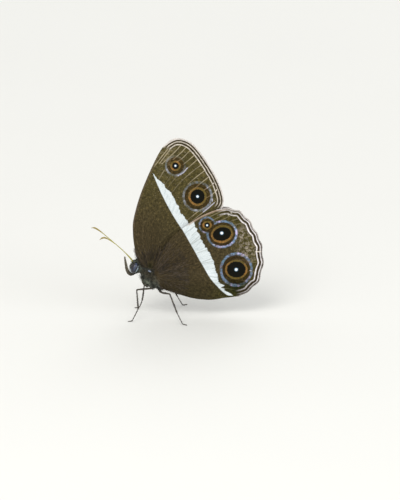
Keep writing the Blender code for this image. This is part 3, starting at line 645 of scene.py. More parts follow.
# What makes up each kind of wing. Its "lower" is how far it is let down to stay inside the
# solid's outline, and a "strength" runs from the front to the rear of the outer edge.
WINGS = {
    "forewing": {
        "outline": lambda step: curve_through(FOREWING_EDGE, step, True),
        "termen": lambda: curve_through(FOREWING_TERMEN, TERMEN_STEP),
        "veins": FOREWING_VEINS,
        "last_veins": FOREWING_LAST_VEINS,
        "place": forewing_place,
        "band": (FOREWING_BAND_INNER, FOREWING_BAND_OUTER),
        "spots": FOREWING_SPOTS,
        "strokes": FOREWING_STROKES,
        "dust": FOREWING_DUST,
        "gloom": FOREWING_DARK_AND_SHADE,
        "costa": FOREWING_COSTA,
        "lower": 0.12,
        "line_strength": ((0, 0.95), (0.5, 0.95), (0.75, 0.78), (1, 0.7)),
        "zone_strength": ((0, 0.68), (1, 0.68)),
        "streaks": FOREWING_STREAKS,
        "ticks": FOREWING_TICKS,
    },
    "hindwing": {
        "outline": hindwing_outline,
        "termen": hindwing_termen,
        "veins": HINDWING_VEINS,
        "last_veins": tuple(HINDWING_TERMEN),
        "place": hindwing_place,
        "band": (HINDWING_BAND_INNER, HINDWING_BAND_OUTER),
        "spots": HINDWING_SPOTS,
        "strokes": HINDWING_STROKES,
        "dust": HINDWING_DUST,
        "gloom": HINDWING_GLOOM,
        "costa": (*HINDWING_COSTA[4:], HINDWING_TERMEN["subcosta"]),
        "lower": 0.16,
        "line_strength": ((0, 0.5), (0.15, 0.6), (0.22, 0.7), (0.27, 1), (0.77, 1), (0.82, 0.6),
                          (0.9, 0.45), (1, 0.3)),
        "zone_strength": ((0, 0.35), (0.18, 0.45), (0.3, 0.85), (1, 0.85)),
        "streaks": (),
        "ticks": HINDWING_TICKS,
    },
}


def on_wing(kind, flat, sign, outward):
    """Flat wing points put in place, outward being how far they stand off the membrane."""
    plan = WINGS[kind]
    away = plan["place"](flat) + outward
    return np.stack([flat[:, 0], sign * away, flat[:, 1] - plan["lower"]], axis=1)


def added(name, content):
    """A new object in the scene."""
    thing = bpy.data.objects.new(name, content)
    bpy.context.scene.collection.objects.link(thing)
    return thing


def new_object(name, mesh, material, replaced=(), smooth=True):
    """Puts a mesh in the scene as a piece of the butterfly."""
    if smooth:
        mesh.shade_smooth()
    mesh.materials.append(material)
    piece = added(name, mesh)
    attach(piece, BODY)
    if replaced:
        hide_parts(*replaced)


def add_fields(mesh, fields):
    """Gives a mesh named values at its points."""
    for key, values in fields.items():
        mesh.attributes.new(key, "FLOAT", "POINT").data.foreach_set(
            "value", np.asarray(values, np.float32))


def mesh_of(name, points, triangles, fields=None):
    """A mesh from points in millimetres, with named values at the points."""
    mesh = bpy.data.meshes.new(name)
    mesh.from_pydata((np.asarray(points) * MM).tolist(), [], np.asarray(triangles).tolist())
    add_fields(mesh, fields or {})
    mesh.update()
    return mesh


def finished_mesh(form, name):
    """A form turned into a mesh."""
    mesh = bpy.data.meshes.new(name)
    form.to_mesh(mesh)
    form.free()
    return mesh


def read_rows(items, key, kind=float):
    """A mesh's vectors or triangles as rows of three."""
    values = np.empty(len(items) * 3, kind)
    items.foreach_get(key, values)
    return values.reshape(-1, 3)


def seeded(word):
    """Random numbers that are the same each time for a word."""
    return np.random.default_rng(sum(ord(letter) * (i + 1) for i, letter in enumerate(word)))


class Finish:
    """A material, built node by node."""

    def __init__(self, name, roughness, specular, sheen=0.0):
        self.material = bpy.data.materials.new(name)
        self.material.use_nodes = True
        self.tree = self.material.node_tree
        self.tree.nodes.clear()
        self.shader = self.tree.nodes.new("ShaderNodeBsdfPrincipled")
        self.shader.inputs["Roughness"].default_value = roughness
        self.shader.inputs["Specular IOR Level"].default_value = specular
        self.shader.inputs["Sheen Weight"].default_value = sheen
        output = self.tree.nodes.new("ShaderNodeOutputMaterial")
        self.tree.links.new(self.shader.outputs["BSDF"], output.inputs["Surface"])

    def feed(self, socket, value):
        """Links a socket, or sets it to a plain value."""
        if isinstance(value, bpy.types.NodeSocket):
            self.tree.links.new(value, socket)
        elif hasattr(value, "__len__") and len(socket.default_value) == 4:
            socket.default_value = (*tuple(value)[:3], 1.0)
        else:
            socket.default_value = value

    def node(self, kind, inputs=None, **settings):
        """Adds a shader node with its inputs and settings."""
        made = self.tree.nodes.new("ShaderNode" + kind)
        for key, value in settings.items():
            setattr(made, key, value)
        for key, value in (inputs or {}).items():
            self.feed(made.inputs[key], value)
        return made

    def field(self, name):
        """A value that the mesh's points carry."""
        return self.node("Attribute", attribute_name=name).outputs["Fac"]

    def place(self, stretch=(1.0, 1.0, 1.0)):
        """The place on the butterfly, in millimetres."""
        where = self.node("TexCoord").outputs["Object"]
        scaled = self.node("VectorMath", {0: where}, operation="MULTIPLY")
        scaled.inputs[1].default_value = [s / MM for s in stretch]
        return scaled.outputs[0]

    def joined(self, x, y):
        return self.node("CombineXYZ", {0: x, 1: y}).outputs[0]

    def maths(self, operation, first, second=0.0, clamp=False):
        return self.node("Math", {0: first, 1: second}, operation=operation,
                         use_clamp=clamp).outputs[0]

    def plus(self, first, second, clamp=False):
        return self.maths("ADD", first, second, clamp)

    def times(self, *values):
        result = values[0]
        for value in values[1:]:
            result = self.maths("MULTIPLY", result, value)
        return result

    def sway(self, noise, strength, middle=0.5):
        """Noise as a change up and down from its middle."""
        return self.times(self.maths("SUBTRACT", noise, middle), strength)

    def step(self, low, high, value, start=0.0, end=1.0):
        """A smooth change from start to end as the value goes from low to high."""
        if low > high:
            low, high, start, end = high, low, end, start
        return self.node("MapRange", {0: value, 1: low, 2: high, 3: start, 4: end},
                         interpolation_type="SMOOTHSTEP").outputs[0]

    def between(self, low, high, value, soft):
        """1 from low to high and 0 outside, with soft ends."""
        return self.times(self.step(low - soft, low + soft, value),
                          self.step(high - soft, high + soft, value, 1.0, 0.0))

    def mix(self, share, first, second, blend="MIX"):
        made = self.node("Mix", data_type="RGBA", blend_type=blend)
        for key, value in ((0, share), (6, first), (7, second)):
            self.feed(made.inputs[key], value)
        return made.outputs[2]

    def toned(self, share, colour, tone):
        """A colour multiplied by a tone, as far as the share says."""
        return self.mix(share, colour, self.mix(1.0, colour, tone, "MULTIPLY"))

    def laid(self, colour, *layers):
        """A colour with others laid over it, each given as its share and itself."""
        for share, layer in layers:
            colour = self.mix(share, colour, layer)
        return colour

    def noise(self, place, size, detail=2.0, roughness=0.5):
        return self.node("TexNoise", {
            "Vector": place, "Scale": 1.0 / size, "Detail": detail, "Roughness": roughness,
        }).outputs["Fac"]

    def cells(self, place, size):
        return self.node("TexVoronoi", {"Vector": place, "Scale": 1.0 / size}).outputs["Distance"]

    def bump(self, height, depth, strength):
        """Raises the surface by height (0 to 1) times depth in millimetres."""
        made = self.node("Bump", {"Height": height, "Strength": strength,
                                  "Distance": depth * MM})
        self.feed(self.shader.inputs["Normal"], made.outputs[0])

    def colour(self, value):
        self.feed(self.shader.inputs["Base Color"], value)


class WingFinish(Finish):
    """The scales of a wing: ground brown, streaks, band, eyespots, edge lines and grain, all
    drawn from the values that the wing's points carry."""

    def __init__(self, kind, look):
        super().__init__(kind + "_scales", roughness=0.85, specular=0.06)
        self.look, self.own = look, WING_LOOKS[kind]
        self.ring_colour = getattr(look, kind + "_ring")
        self.line_colour = getattr(look, kind + "_line")
        self.along, self.across = self.field("along"), self.field("across")
        self.edge, self.reach, self.line = (self.field(key) for key in ("edge", "reach", "line"))
        self.margin = self.field("margin")
        self.where = self.place()
        self.ragged = self.noise(self.where, 0.35, 3.0, 0.6)
        self.fine = self.noise(self.rays(1.0), 0.16, 3.0, 0.75)
        self.specks = self.noise(self.rays(0.6), 0.3, 4.0, 0.85)

    def rays(self, lengthwise, crosswise=1.0):
        """The place by the rays from the hinge. Less than 1 draws a pattern out that way."""
        return self.joined(self.times(self.along, lengthwise),
                           self.times(self.across, crosswise))

    def ground(self):
        """Browns, darker inside and paler towards the edge, with dust, streaks and veins."""
        look, own = self.look, self.own
        outward = self.step(*own["outer_fade"], self.reach)
        plum = self.times(self.step(0.65, 0.25, self.reach), own["plum_share"])
        ground = self.mix(outward, look.base_brown, look.outer_brown)
        ground = self.toned(plum, ground, own["plum_tone"])
        narrow = self.rays(0.35, 2.4)
        patterns = {"coarse": self.noise(self.where, 1.6, 3.0), "specks": self.specks,
                    "rays": self.noise(narrow, 0.5, 2.0, 0.6)}
        for pattern, start, full, strength, tone in GROUND_TONES:
            share = self.step(start, full, patterns[pattern], 0.0, strength)
            ground = self.toned(share, ground, tone)
        if own["outer_tone"]:
            ground = self.toned(outward, ground, own["outer_tone"])
        dust = self.times(self.field("dust"), self.step(
            0.45, 0.62, self.noise(self.rays(0.5), 0.34, 3.0, 0.75)), own["dust_share"])
        flecks = self.times(self.step(0.64, 0.74, self.noise(self.rays(1.0), 0.2, 1.0)),
                            outward, 0.35)
        streak = self.times(self.step(0.11, 0.02, self.line),
                            self.step(*own["streak_fade"], self.edge, own["streak_least"]),
                            self.step(0.25, 0.6, self.noise(narrow, 1.4, 1.0), 0.35),
                            own["streak_share"])
        ground = self.laid(ground, (dust, shade(*own["dust"])), (flecks, look.streak),
                           (streak, look.streak))
        vein = self.times(self.step(0.15, 0.03, self.field("vein")),
                          self.step(0.7, 0.3, self.reach), 0.5)
        # Darker brown patches, and painted shade in the slit at the wings' roots.
        return self.toned(self.field("gloom"), self.toned(vein, ground, VEIN_TONE), DARK_AND_SHADE_TONE)

    def banded(self, ground):
        """The white band, crisp on its inner side and toothed on its outer one."""
        crosswise = self.joined(self.across, self.times(self.along, 0.2))
        teeth = self.sway(self.noise(crosswise, 0.5, 2.0, 0.6), 1.05)
        outer_side = self.plus(self.field("band_outer"), teeth)
        inner_side = self.plus(self.field("band_inner"), self.sway(self.ragged, 0.12))
        rays = self.step(0.5, 0.6, self.noise(self.rays(0.12), 0.26, 2.0), 0.0, 0.7)
        white = self.toned(rays, self.look.band, BAND_TONES["rays"])
        white = self.mix(self.times(self.step(0.12, 0.03, self.line), 0.5), white,
                         shade(160, 166, 162))
        white = self.toned(self.step(0.3, 0.75, self.fine, 0.0, 0.5), white,
                           BAND_TONES["grain"])
        return self.mix(self.times(self.step(-0.05, 0.07, inner_side),
                                   self.step(-0.06, 0.08, outer_side)), ground, white)

    def spotted(self, surface):
        """The eyespots, each a dark core with an ochre and a pale ring, and the strokes."""
        look, where = self.look, self.where
        ring = self.plus(self.field("ring"), self.sway(self.ragged, 0.3))
        patchy = self.step(0.36, 0.58, self.noise(where, 0.5, 2.0, 0.6), 0.25)
        pale = self.times(self.between(3.05, 3.95, ring, 0.18), self.field("glow"), patchy)
        pale_colour = self.toned(self.step(0.5, 0.35, self.noise(where, 0.9, 1.0)),
                                 self.ring_colour, RING_TONE)
        pale_colour = self.mix(self.step(0.52, 0.68, self.noise(where, 0.65, 1.0)),
                               pale_colour, shade(*self.own["ring_light"]))
        surface = self.toned(self.between(1.9, 3.1, ring, 0.12), surface, HALO_TONE)
        warmth = self.plus(self.times(self.field("warm"), 0.85),
                           self.sway(self.noise(where, 0.45, 2.0), 1.8, 0.55), clamp=True)
        ochre = self.times(self.between(0.98, 1.85, ring, 0.16), self.step(
            0.36, 0.56, self.noise(where, 0.26, 2.0, 0.6), 0.42, 0.92))
        pupil = self.field("pupil")
        return self.laid(
            surface, (pale, pale_colour), (ochre, self.mix(warmth, look.olive, look.ochre)),
            (self.step(1.08, 0.94, ring), look.core),
            (self.step(0.14, 0.03, self.field("stroke"), 0.0, 0.75), shade(204, 204, 228)),
            (self.step(1.6, 0.9, pupil), shade(90, 125, 150)),
            (self.step(1.05, 0.75, pupil), shade(244, 250, 255)))

    def edged(self, surface):
        """The dark zone and the pale lines along the outer edge, and the front edge's rim."""
        look, own = self.look, self.own
        zone = self.times(self.step(1.3, 1.15, self.edge), self.margin, self.field("zone"))
        surface = self.mix(zone, surface, look.dark_line)
        wavy = self.plus(self.edge, self.sway(self.noise(self.where, 0.8, 1.0), 0.16))
        worn = self.step(0.35, 0.6, self.specks, 0.5)
        for middle, half, strength in own["edge_lines"]:
            drawn = self.between(middle - half, middle + half, wavy, 0.05)
            surface = self.mix(self.times(drawn, self.margin, self.field("bright"), strength,
                                          worn), surface, self.line_colour)
        last = self.times(self.step(*own["last_fade"], self.edge), self.margin,
                          own["last_share"])
        rim = self.times(self.field("costa"), own["rim_share"])
        return self.laid(
            surface, (self.step(0.14, 0.04, self.field("tick"), 0.0, 0.8), look.forewing_line),
            (last, look.fringe), (rim, shade(*own["rim"])))


def wing_finish(kind, look):
    """A wing's markings on its under side, its plain upper side, and its grain of scales."""
    f = WingFinish(kind, look)
    upper_side = f.toned(f.step(0.3, 0.7, f.fine), look.upper_side, (1.5, 1.5, 1.5))
    surface = f.mix(f.field("under"), upper_side, f.spotted(f.banded(f.ground())))
    grain = f.mix(f.step(0.25, 0.75, f.fine), (0.82, 0.82, 0.82), (1.14, 1.14, 1.14))
    f.colour(f.mix(1.0, f.edged(surface), grain, "MULTIPLY"))
    f.bump(f.mix(0.5, f.cells(f.rays(0.7), 0.075), f.fine), 0.03, 0.6)
    return f.material


def coat_finish(name, dark, light, sheen=0.15, patches=0.6, size=0.8):
    """Hair or scales: dark at the root and paler at the tip, each tuft a little different."""
    f = Finish(name, roughness=0.62, specular=0.3, sheen=sheen)
    share = f.times(f.field("tint"), f.step(0.0, 1.0, f.field("tip"), 0.45))
    share = f.plus(share, f.sway(f.noise(f.place(), size), patches, 0.42), clamp=True)
    f.colour(f.mix(share, dark, light))
    f.bump(f.noise(f.place(), 0.03, 1.0), 0.01, 0.4)
    return f.material


def skin_finish(name, look):
    """The skin under a coat: dark plates with fine short scales."""
    f = Finish(name, roughness=0.7, specular=0.25, sheen=0.1)
    scales = f.cells(f.place((0.55, 1.0, 1.0)), 0.09)
    mixed = f.mix(f.step(0.35, 0.7, f.noise(f.place(), 0.9, 3.0)), look.dark,
                  f.mix(0.45, look.dark, look.light))
    f.colour(f.toned(f.step(0.1, 0.6, scales, 0.0, 0.35), mixed, (0.6, 0.6, 0.6)))
    f.bump(scales, 0.03, 0.6)
    return f.material


def eye_finish(look):
    """A compound eye: dark, glossy and finely faceted, with a blue-grey sheen in the middle,
    a black band behind it and a pale rim at the rear, which is a painted highlight."""
    f = Finish("compound_eye_surface", roughness=0.22, specular=0.5)
    facets = f.cells(f.place(), 0.035)
    wander = f.sway(f.noise(f.place(), 0.5), 0.3)
    rearward, upward = (f.plus(f.field(key), wander) for key in ("rearward", "upward"))
    sheen = f.times(f.between(-0.3, 0.3, rearward, 0.22), f.step(-0.75, 0.3, upward))
    colour = f.laid(look.eye, (sheen, look.eye_sheen),
                    (f.between(0.3, 0.54, rearward, 0.1), shade(12, 12, 15)),
                    (f.step(0.25, 0.5, facets, 0.0, 0.3), (0.01, 0.01, 0.012)))
    # Painted highlight: the pale rim along the rear edge, where the light from behind catches the
    # eye.
    rim = f.times(f.step(0.56, 0.7, rearward), f.step(-0.75, -0.3, upward))
    cheek = f.times(f.step(0.8, 0.9, f.field("limb")), f.step(0.2, -0.3, rearward),
                    f.step(-0.15, -0.5, upward), 0.85)
    f.colour(f.mix(f.maths("MAXIMUM", rim, cheek), colour, look.eye_rim))
    f.bump(facets, 0.006, 0.35)
    return f.material


def leg_finish(look):
    """Leg armour: dark brown and scaled, with pale flecks and faint pale bands along the leg."""
    f = Finish("leg_chitin_surface", roughness=0.45, specular=0.4)
    scales = f.noise(f.place(), 0.07, 2.0, 0.7)
    pale = f.plus(f.field("inner"), f.sway(scales, 0.9), clamp=True)
    f.colour(f.mix(pale, look.leg, look.leg_pale))
    f.bump(f.cells(f.place(), 0.05), 0.012, 0.5)
    return f.material


def feeler_finish(look):
    """An antenna: ochre rings parted by brown lines, darker along the club."""
    f = Finish("feeler_chitin_surface", roughness=0.5, specular=0.35)
    rings = f.maths("FRACT", f.field("rings"))
    seam = f.plus(f.step(0.16, 0.02, rings), f.step(0.84, 0.98, rings), clamp=True)
    grain = f.noise(f.place(), 0.06)
    ochre = f.toned(f.step(0.3, 0.7, grain), look.feeler, (0.72, 0.7, 0.62))
    f.colour(f.laid(ochre, (f.times(seam, 0.7), look.feeler_dark),
                    (f.times(f.field("club"), 0.6), look.feeler_dark)))
    f.bump(grain, 0.006, 0.4)
    return f.material


def floor_finish(look):
    """The floor: pale and faintly mottled."""
    f = Finish("studio_floor", roughness=0.85, specular=0.1)
    f.colour(f.toned(f.noise(f.place(), 60.0), look.floor_colour, (0.97, 0.97, 0.97)))
    return f.material


def spot_fields(points, spots):
    """The ring number of each point in its nearest eyespot (1 at the core's edge, 2 at the
    ochre's, 3 and 4 at the pale ring's sides), and that spot's strengths at its angle."""
    far_off = np.full(len(points), 9.0)
    ring, pupil, glow, warm = far_off, far_off, 0 * far_off, 0 * far_off
    for centre, turn, halves, mean, change, strongest, warmest, sides, eye, radius in spots:
        away = points - centre
        distance, angle = norms(away), angle_of(away)
        turned = angle - math.radians(turn)
        levels = [0 * far_off]
        for wide, high in halves:
            levels.append(wide * high / np.hypot(high * np.cos(turned), wide * np.sin(turned)))
        levels.append(levels[-1] + 1.0)
        value = far_off
        for i in reversed(range(len(levels) - 1)):
            share = (distance - levels[i]) / (levels[i + 1] - levels[i])
            value = np.where(distance < levels[i + 1], i + share, value)
        nearer = value < ring
        ring = np.where(nearer, value, ring)
        swing = np.cos(angle - math.radians(strongest))
        glow = np.where(nearer, np.clip(mean + change * swing, 0, 1), glow)
        swing = np.cos(sides * (angle - math.radians(warmest)))
        warm = np.where(nearer, 0.5 + 0.5 * swing, warm)
        pupil = np.minimum(pupil, norms(points - eye) / radius)
    return {"ring": ring, "glow": glow, "warm": warm, "pupil": pupil}


def angle_of(ways):
    """The angle of each flat direction."""
    return np.arctan2(ways[:, 1], ways[:, 0])


def clouds(points, patches):
    """How deep each point lies in the nearest soft patch, from 0 far off to its strength."""
    return np.max([strength * np.exp(-np.sum(((points - centre) / halves) ** 2, axis=1))
                   for centre, halves, strength in patches], axis=0)


def within(points, line):
    """Each point's distance to a line, which is positive on the side towards the body."""
    line = np.array(line)
    start, end = line[0] + 40 * (line[0] - line[1]), line[-1] + 40 * (line[-1] - line[-2])
    region = np.concatenate([[start], line, [end], [(-60.0, -60.0), (-60.0, 60.0)]])
    return np.where(inside(points, region), 1, -1) * nearest(points, line)[0]


def wing_fields(kind, points):
    """The values that a wing's points carry for its colours."""
    plan = WINGS[kind]
    veins = [curve_through(line, LINE_STEP) for line in plan["veins"].values()]
    folds, streaks = wing_rays(kind)
    edge, _, share = nearest(points, plan["termen"]())
    from_hinge = points - HINGE
    along = norms(from_hinge)
    vein, fold = nearest_of(points, veins), nearest_of(points, folds)
    costa, _, costa_share = nearest(points, np.array(plan["costa"]))
    inner, outer = plan["band"]
    inner_gap, inner_side, _ = nearest(points, curve_through(inner, LINE_STEP))
    fields = {
        "edge": edge,
        "margin": smooth_step(0.0, 0.06, share) * smooth_step(1.0, 0.94, share),
        "bright": np.interp(share, *zip(*plan["line_strength"])),
        "zone": np.interp(share, *zip(*plan["zone_strength"])),
        "along": along,
        "across": RADIAN_WIDTH * angle_of(from_hinge),
        "reach": along / (along + edge),
        "vein": vein,
        "line": nearest_of(points, streaks),
        "band_inner": inner_gap * inner_side,
        "band_outer": within(points, outer),
        "stroke": nearest_of(points, [np.array(line) for line in plan["strokes"]]),
        "tick": nearest_of(points, [np.array(line) for line in plan["ticks"]]),
        "dust": clouds(points, plan["dust"]),
        "gloom": clouds(points, plan["gloom"]),
        "costa": smooth_step(0.35, 0.08, costa) * smooth_step(0.0, 0.15, costa_share),
        **spot_fields(points, plan["spots"]),
    }
    return fields, vein, fold


def outward_normals(outline):
    """The way out from each point of an outline."""
    ahead = np.roll(outline, -1, axis=0) - np.roll(outline, 1, axis=0)
    outward = unit(np.stack([ahead[:, 1], -ahead[:, 0]], axis=1))
    return -outward if inside(outline[:1] + outward[:1] * 0.1, outline)[0] else outward


def inset_outline(kind, step, look):
    """The wing's edge, drawn in along the outer margin to leave room for the fringe."""
    outline = WINGS[kind]["outline"](step)
    gap, _, share = nearest(outline, WINGS[kind]["termen"]())
    weight = smooth_step(0.2, 0.05, gap) * smooth_step(0, 0.05, share)
    depth = FRINGE_ROOM * look.fringe_length / MM * weight * smooth_step(1.0, 0.95, share)
    return outline - outward_normals(outline) * depth[:, None]


def wing_net(kind, look):
    """A flat net over a wing, with points along its veins and folds, as (points, triangles,
    rim)."""
    plan = WINGS[kind]
    step = look.net_step / MM
    outline = inset_outline(kind, step, look)
    rim = np.concatenate([outline, outline[:1]])
    low, high = outline.min(axis=0), outline.max(axis=0)
    rows = []
    for i, z in enumerate(np.arange(low[1], high[1], step * math.sqrt(0.75))):
        x = np.arange(low[0] + step / 2 * (i % 2), high[0], step)
        rows.append(np.stack([x, np.full(len(x), z)], axis=1))

    def well_inside(places):
        places = places[inside(places, outline)]
        return places[nearest(places, rim)[0] > RIM_CLEARANCE * step]

    folds, streaks = wing_rays(kind)
    lines = [*plan["veins"].values(), *folds, *(streaks if plan["streaks"] else [])]
    lines = [well_inside(curve_through(line, step)) for line in lines]
    grid = well_inside(np.concatenate(rows))
    grid = grid[nearest_of(grid, lines) > LINE_CLEARANCE * step]
    count = len(outline)
    edges = [(i, (i + 1) % count) for i in range(count)]
    points = [outline]
    for line in lines:
        edges += [(count + i, count + i + 1) for i in range(len(line) - 1)]
        count += len(line)
        points.append(line)
    points = np.concatenate(points + [grid])
    made = delaunay_2d_cdt([Vector(p) for p in points], edges,
                           [list(range(len(outline)))], 1, 1e-4)
    points = np.array([tuple(p) for p in made[0]])
    triangles = np.array([face for face in made[2] if len(face) == 3])
    a, b, c = (points[triangles[:, i]] for i in range(3))
    area = (b[:, 0] - a[:, 0]) * (c[:, 1] - a[:, 1]) - (b[:, 1] - a[:, 1]) * (c[:, 0] - a[:, 0])
    triangles[area < 0] = triangles[area < 0][:, ::-1]
    return points, triangles, rim


def make_wings(kind, look):
    """Both wings of a kind: thin closed membranes with raised veins and shallow pleats."""
    points, triangles, rim = wing_net(kind, look)
    fields, vein, fold = wing_fields(kind, points)
    count = len(points)
    from_rim = smooth_step(0.0, 0.5, nearest(points, rim)[0])
    thickness = look.thickness / MM * (RELIEF_LEFT + (1 - RELIEF_LEFT) * from_rim)
    fading = RELIEF_LEFT + (1 - RELIEF_LEFT) * smooth_step(0.0, 3.0, fields["edge"])
    relief = look.vein_height / MM * np.exp(-(vein / VEIN_HALF_WIDTH) ** 2) * fading
    pleat = (vein - fold) / (vein + fold + 0.05)
    relief += look.pleat_depth / MM * pleat * smooth_step(0.25, 0.6, fields["reach"])
    x, z = points[:, 0], points[:, 1]
    relief += WAVE_HEIGHT * np.sin(0.9 * x + 0.5 * z) * np.sin(0.35 * x - 0.8 * z + 1.0)
    directed = np.concatenate([triangles[:, [0, 1]], triangles[:, [1, 2]], triangles[:, [2, 0]]])
    codes = directed[:, 0] * count + directed[:, 1]
    edge = directed[~np.isin(codes, directed[:, 1] * count + directed[:, 0])]
    walls = np.concatenate([
        np.stack([edge[:, 1], edge[:, 0], edge[:, 0] + count], axis=1),
        np.stack([edge[:, 1], edge[:, 0] + count, edge[:, 1] + count], axis=1),
    ])
    faces = np.concatenate([triangles, triangles[:, ::-1] + count, walls])
    both = {key: np.tile(values, 2) for key, values in fields.items()}
    both["under"] = np.repeat([1.0, 0.0], count)
    material = wing_finish(kind, look)
    for side, sign in SIDES.items():
        outer = on_wing(kind, points, sign, relief + thickness / 2)
        inner = on_wing(kind, points, sign, relief - thickness / 2)
        name = f"{kind}_{side}"
        turned = faces if sign < 0 else faces[:, ::-1]
        mesh = mesh_of(name + "_membrane", np.concatenate([outer, inner]), turned, both)
        new_object(name + "_membrane", mesh, material, [name])


def add_tufts(name, finish, slot, roots, normals, lies, lengths, widths, lifts, places, tints):
    """Adds a piece made of many thin pointed tufts, each lying along the coat and rising to
    its tip."""
    count = len(roots)
    lies = unit(lies - normals * np.sum(lies * normals, axis=1, keepdims=True))
    across = np.cross(normals, lies)
    lengths, widths, lifts = (np.asarray(v, float)[:, None] for v in (lengths, widths, lifts))

    def middle(f):
        return (roots - normals * TUFT_SINK
                + lies * lengths * f * np.sqrt(np.maximum(1 - lifts ** 2, 0.05))
                + normals * lengths * lifts * f * (1.35 - 0.35 * f))

    points, local, tips = [], [], []
    for f, wide in zip(TUFT_STEPS, TUFT_WIDTHS):
        half = widths * wide / 2
        points += [middle(f) - across * half, middle(f) + across * half,
                   middle(f) + normals * half * 0.9]
        local += [(-0.5, f), (0.5, f), (0.0, f)]
        tips += [f] * 3
    points.append(middle(1.0))
    local.append((0.0, 1.0))
    tips.append(1.0)
    corners = len(points)
    faces = [(2, 1, 0)]
    for ring in (0, 3):
        for j in range(3):
            a, b = ring + j, ring + (j + 1) % 3
            faces += [(a, b, b + 3), (a, b + 3, a + 3)]
    faces += [(6, 7, 9), (7, 8, 9), (8, 6, 9)]
    triangles = (np.array(faces)[None] + corners * np.arange(count)[:, None, None])
    triangles = triangles.reshape(-1, 3)
    mesh = mesh_of(name, np.stack(points, axis=1).reshape(-1, 3), triangles, {
        "tint": np.repeat(tints, corners), "tip": np.tile(tips, count),
    })
    patch = places[:, None, :] + TUFT_PATCH * (np.array(local)[None] - (0.0, 0.5))
    layer = mesh.uv_layers.new(name="OFBake")
    layer.data.foreach_set("uv", patch.reshape(-1, 2)[triangles.ravel()].ravel())
    new_object(name, mesh, finish, smooth=False)


def wing_layout(flat, outline):
    """Where flat wing points lie in the coat's layout."""
    corner, size = outline.min(axis=0), np.ptp(outline, axis=0).max()
    return LAYOUT_RIM + LAYOUT_SPAN * (flat - corner) / size


def make_fringes(look):
    """The hair scales along each wing's outer edge, in two rows."""
    for kind, dark in FRINGE_DARK.items():
        material = coat_finish(kind + "_fringe_hair", shade(*dark), look.fringe, 0.05)
        outline = inset_outline(kind, FRINGE_STEP, look)
        following, outward = np.roll(outline, -1, axis=0), outward_normals(outline)
        gap, _, share = nearest(outline, WINGS[kind]["termen"]())
        weight = smooth_step(0.35, 0.15, gap) * smooth_step(0, 0.05, share)
        weight *= smooth_step(1.0, 0.97, share)
        pale = np.ones(len(outline)) if kind == "forewing" else smooth_step(0.5, 0.35, share)
        for side, sign in SIDES.items():
            rng = seeded(kind + side)
            found = []
            for row in range(FRINGE_ROWS):
                for k in range(FRINGE_SHARES):
                    shift = (k + rng.uniform(-0.4, 0.4, len(outline))) / FRINGE_SHARES
                    found.append((outline + (following - outline) * shift[:, None], outward,
                                  weight, np.full(len(outline), row), pale))
            found = [np.concatenate(part) for part in zip(*found)]
            flat, out, strong, row, tints = (part[found[2] > 0.05] for part in found)
            count = len(flat)
            out = unit(out + rng.normal(0, 0.16, (count, 2)))
            flat = flat - out * 0.05
            roots = on_wing(kind, flat, sign, np.where(row > 0, 0.02, -0.01))
            lies = np.stack([out[:, 0], np.zeros(count), out[:, 1]], axis=1)
            normals = np.tile([0.0, float(sign), 0.0], (count, 1))
            normals += rng.normal(0, 0.12, (count, 3))
            lengths = look.fringe_length / MM * rng.uniform(0.65, 1.0, count)
            add_tufts(f"{kind}_{side}_fringe", material, "scaly_wing", roots, unit(normals),
                      lies, lengths * (0.4 + 0.6 * strong), rng.uniform(0.035, 0.06, count),
                      rng.uniform(-0.08, 0.1, count), wing_layout(flat, outline),
                      rng.uniform(0, 0.4, count) + 0.6 * tints)


def make_wing_hair():
    """The long fine hair over each wing's base."""
    material = coat_finish("wing_base_hair", shade(24, 21, 16), shade(124, 108, 90), 0.0)
    nudge = 0.05
    for kind, own in WING_HAIR.items():
        outline = WINGS[kind]["outline"](0.4)
        reach, count = own["reach"], own["count"]
        for side, sign in SIDES.items():
            rng = seeded(side + kind)
            distance = reach * np.sqrt(rng.uniform(0.02, 1, 6 * count))
            angle = rng.uniform(*HAIR_ANGLES, 6 * count)
            flat = np.array(HINGE) + np.stack([distance * np.cos(angle),
                                               distance * np.sin(angle)], axis=1)
            flat = flat[inside(flat, outline)][:count]
            total = len(flat)
            ray = unit(flat - HINGE + rng.normal(0, 0.12, (total, 2)))
            roots = on_wing(kind, flat, sign, HAIR_HEIGHT)
            lies = (on_wing(kind, flat + ray * nudge, sign, HAIR_HEIGHT) - roots) / nudge
            normals = unit(np.tile([0.0, float(sign), 0.0], (total, 1))
                           + rng.normal(0, 0.08, (total, 3)))
            lengths = rng.uniform(0.7, 1.5, total) * (1.1 - 0.5 * norms(flat - HINGE) / reach)
            shades = rng.uniform(0, 1, HAIR_BUNDLES) ** 3
            bundles = shades[(8 * (angle_of(flat - HINGE) + math.pi)).astype(int)]
            slit = nearest(flat + 0.4 * ray, np.array(WING_SLIT))[0]
            tints = 0.2 * rng.uniform(0, 1, total) + own["contrast"] * bundles
            # Painted shade: the hair darkens towards the slit between the wings' roots.
            tints -= 1.6 * smooth_step(0.6, 0.3, slit)
            lengths *= 1 - 0.85 * smooth_step(0.45, 0.25, slit)
            add_tufts(f"{kind}_{side}_base_hair", material, "dark_fur", roots, normals, lies,
                      lengths, rng.uniform(0.03, 0.05, total), rng.uniform(0.02, 0.1, total),
                      wing_layout(flat, outline), tints)


def abdomen_girth(far):
    """How much fuller than a ball the abdomen is at -1 (its root) to 1 (its tip)."""
    full = (1 - abs(far) ** 3.2) ** (1 / 2.2) / np.sqrt(max(1 - far * far, 1e-6))
    return full * (1 - 0.32 * max(0, far) ** 1.5 - 0.12 * max(0, -far))


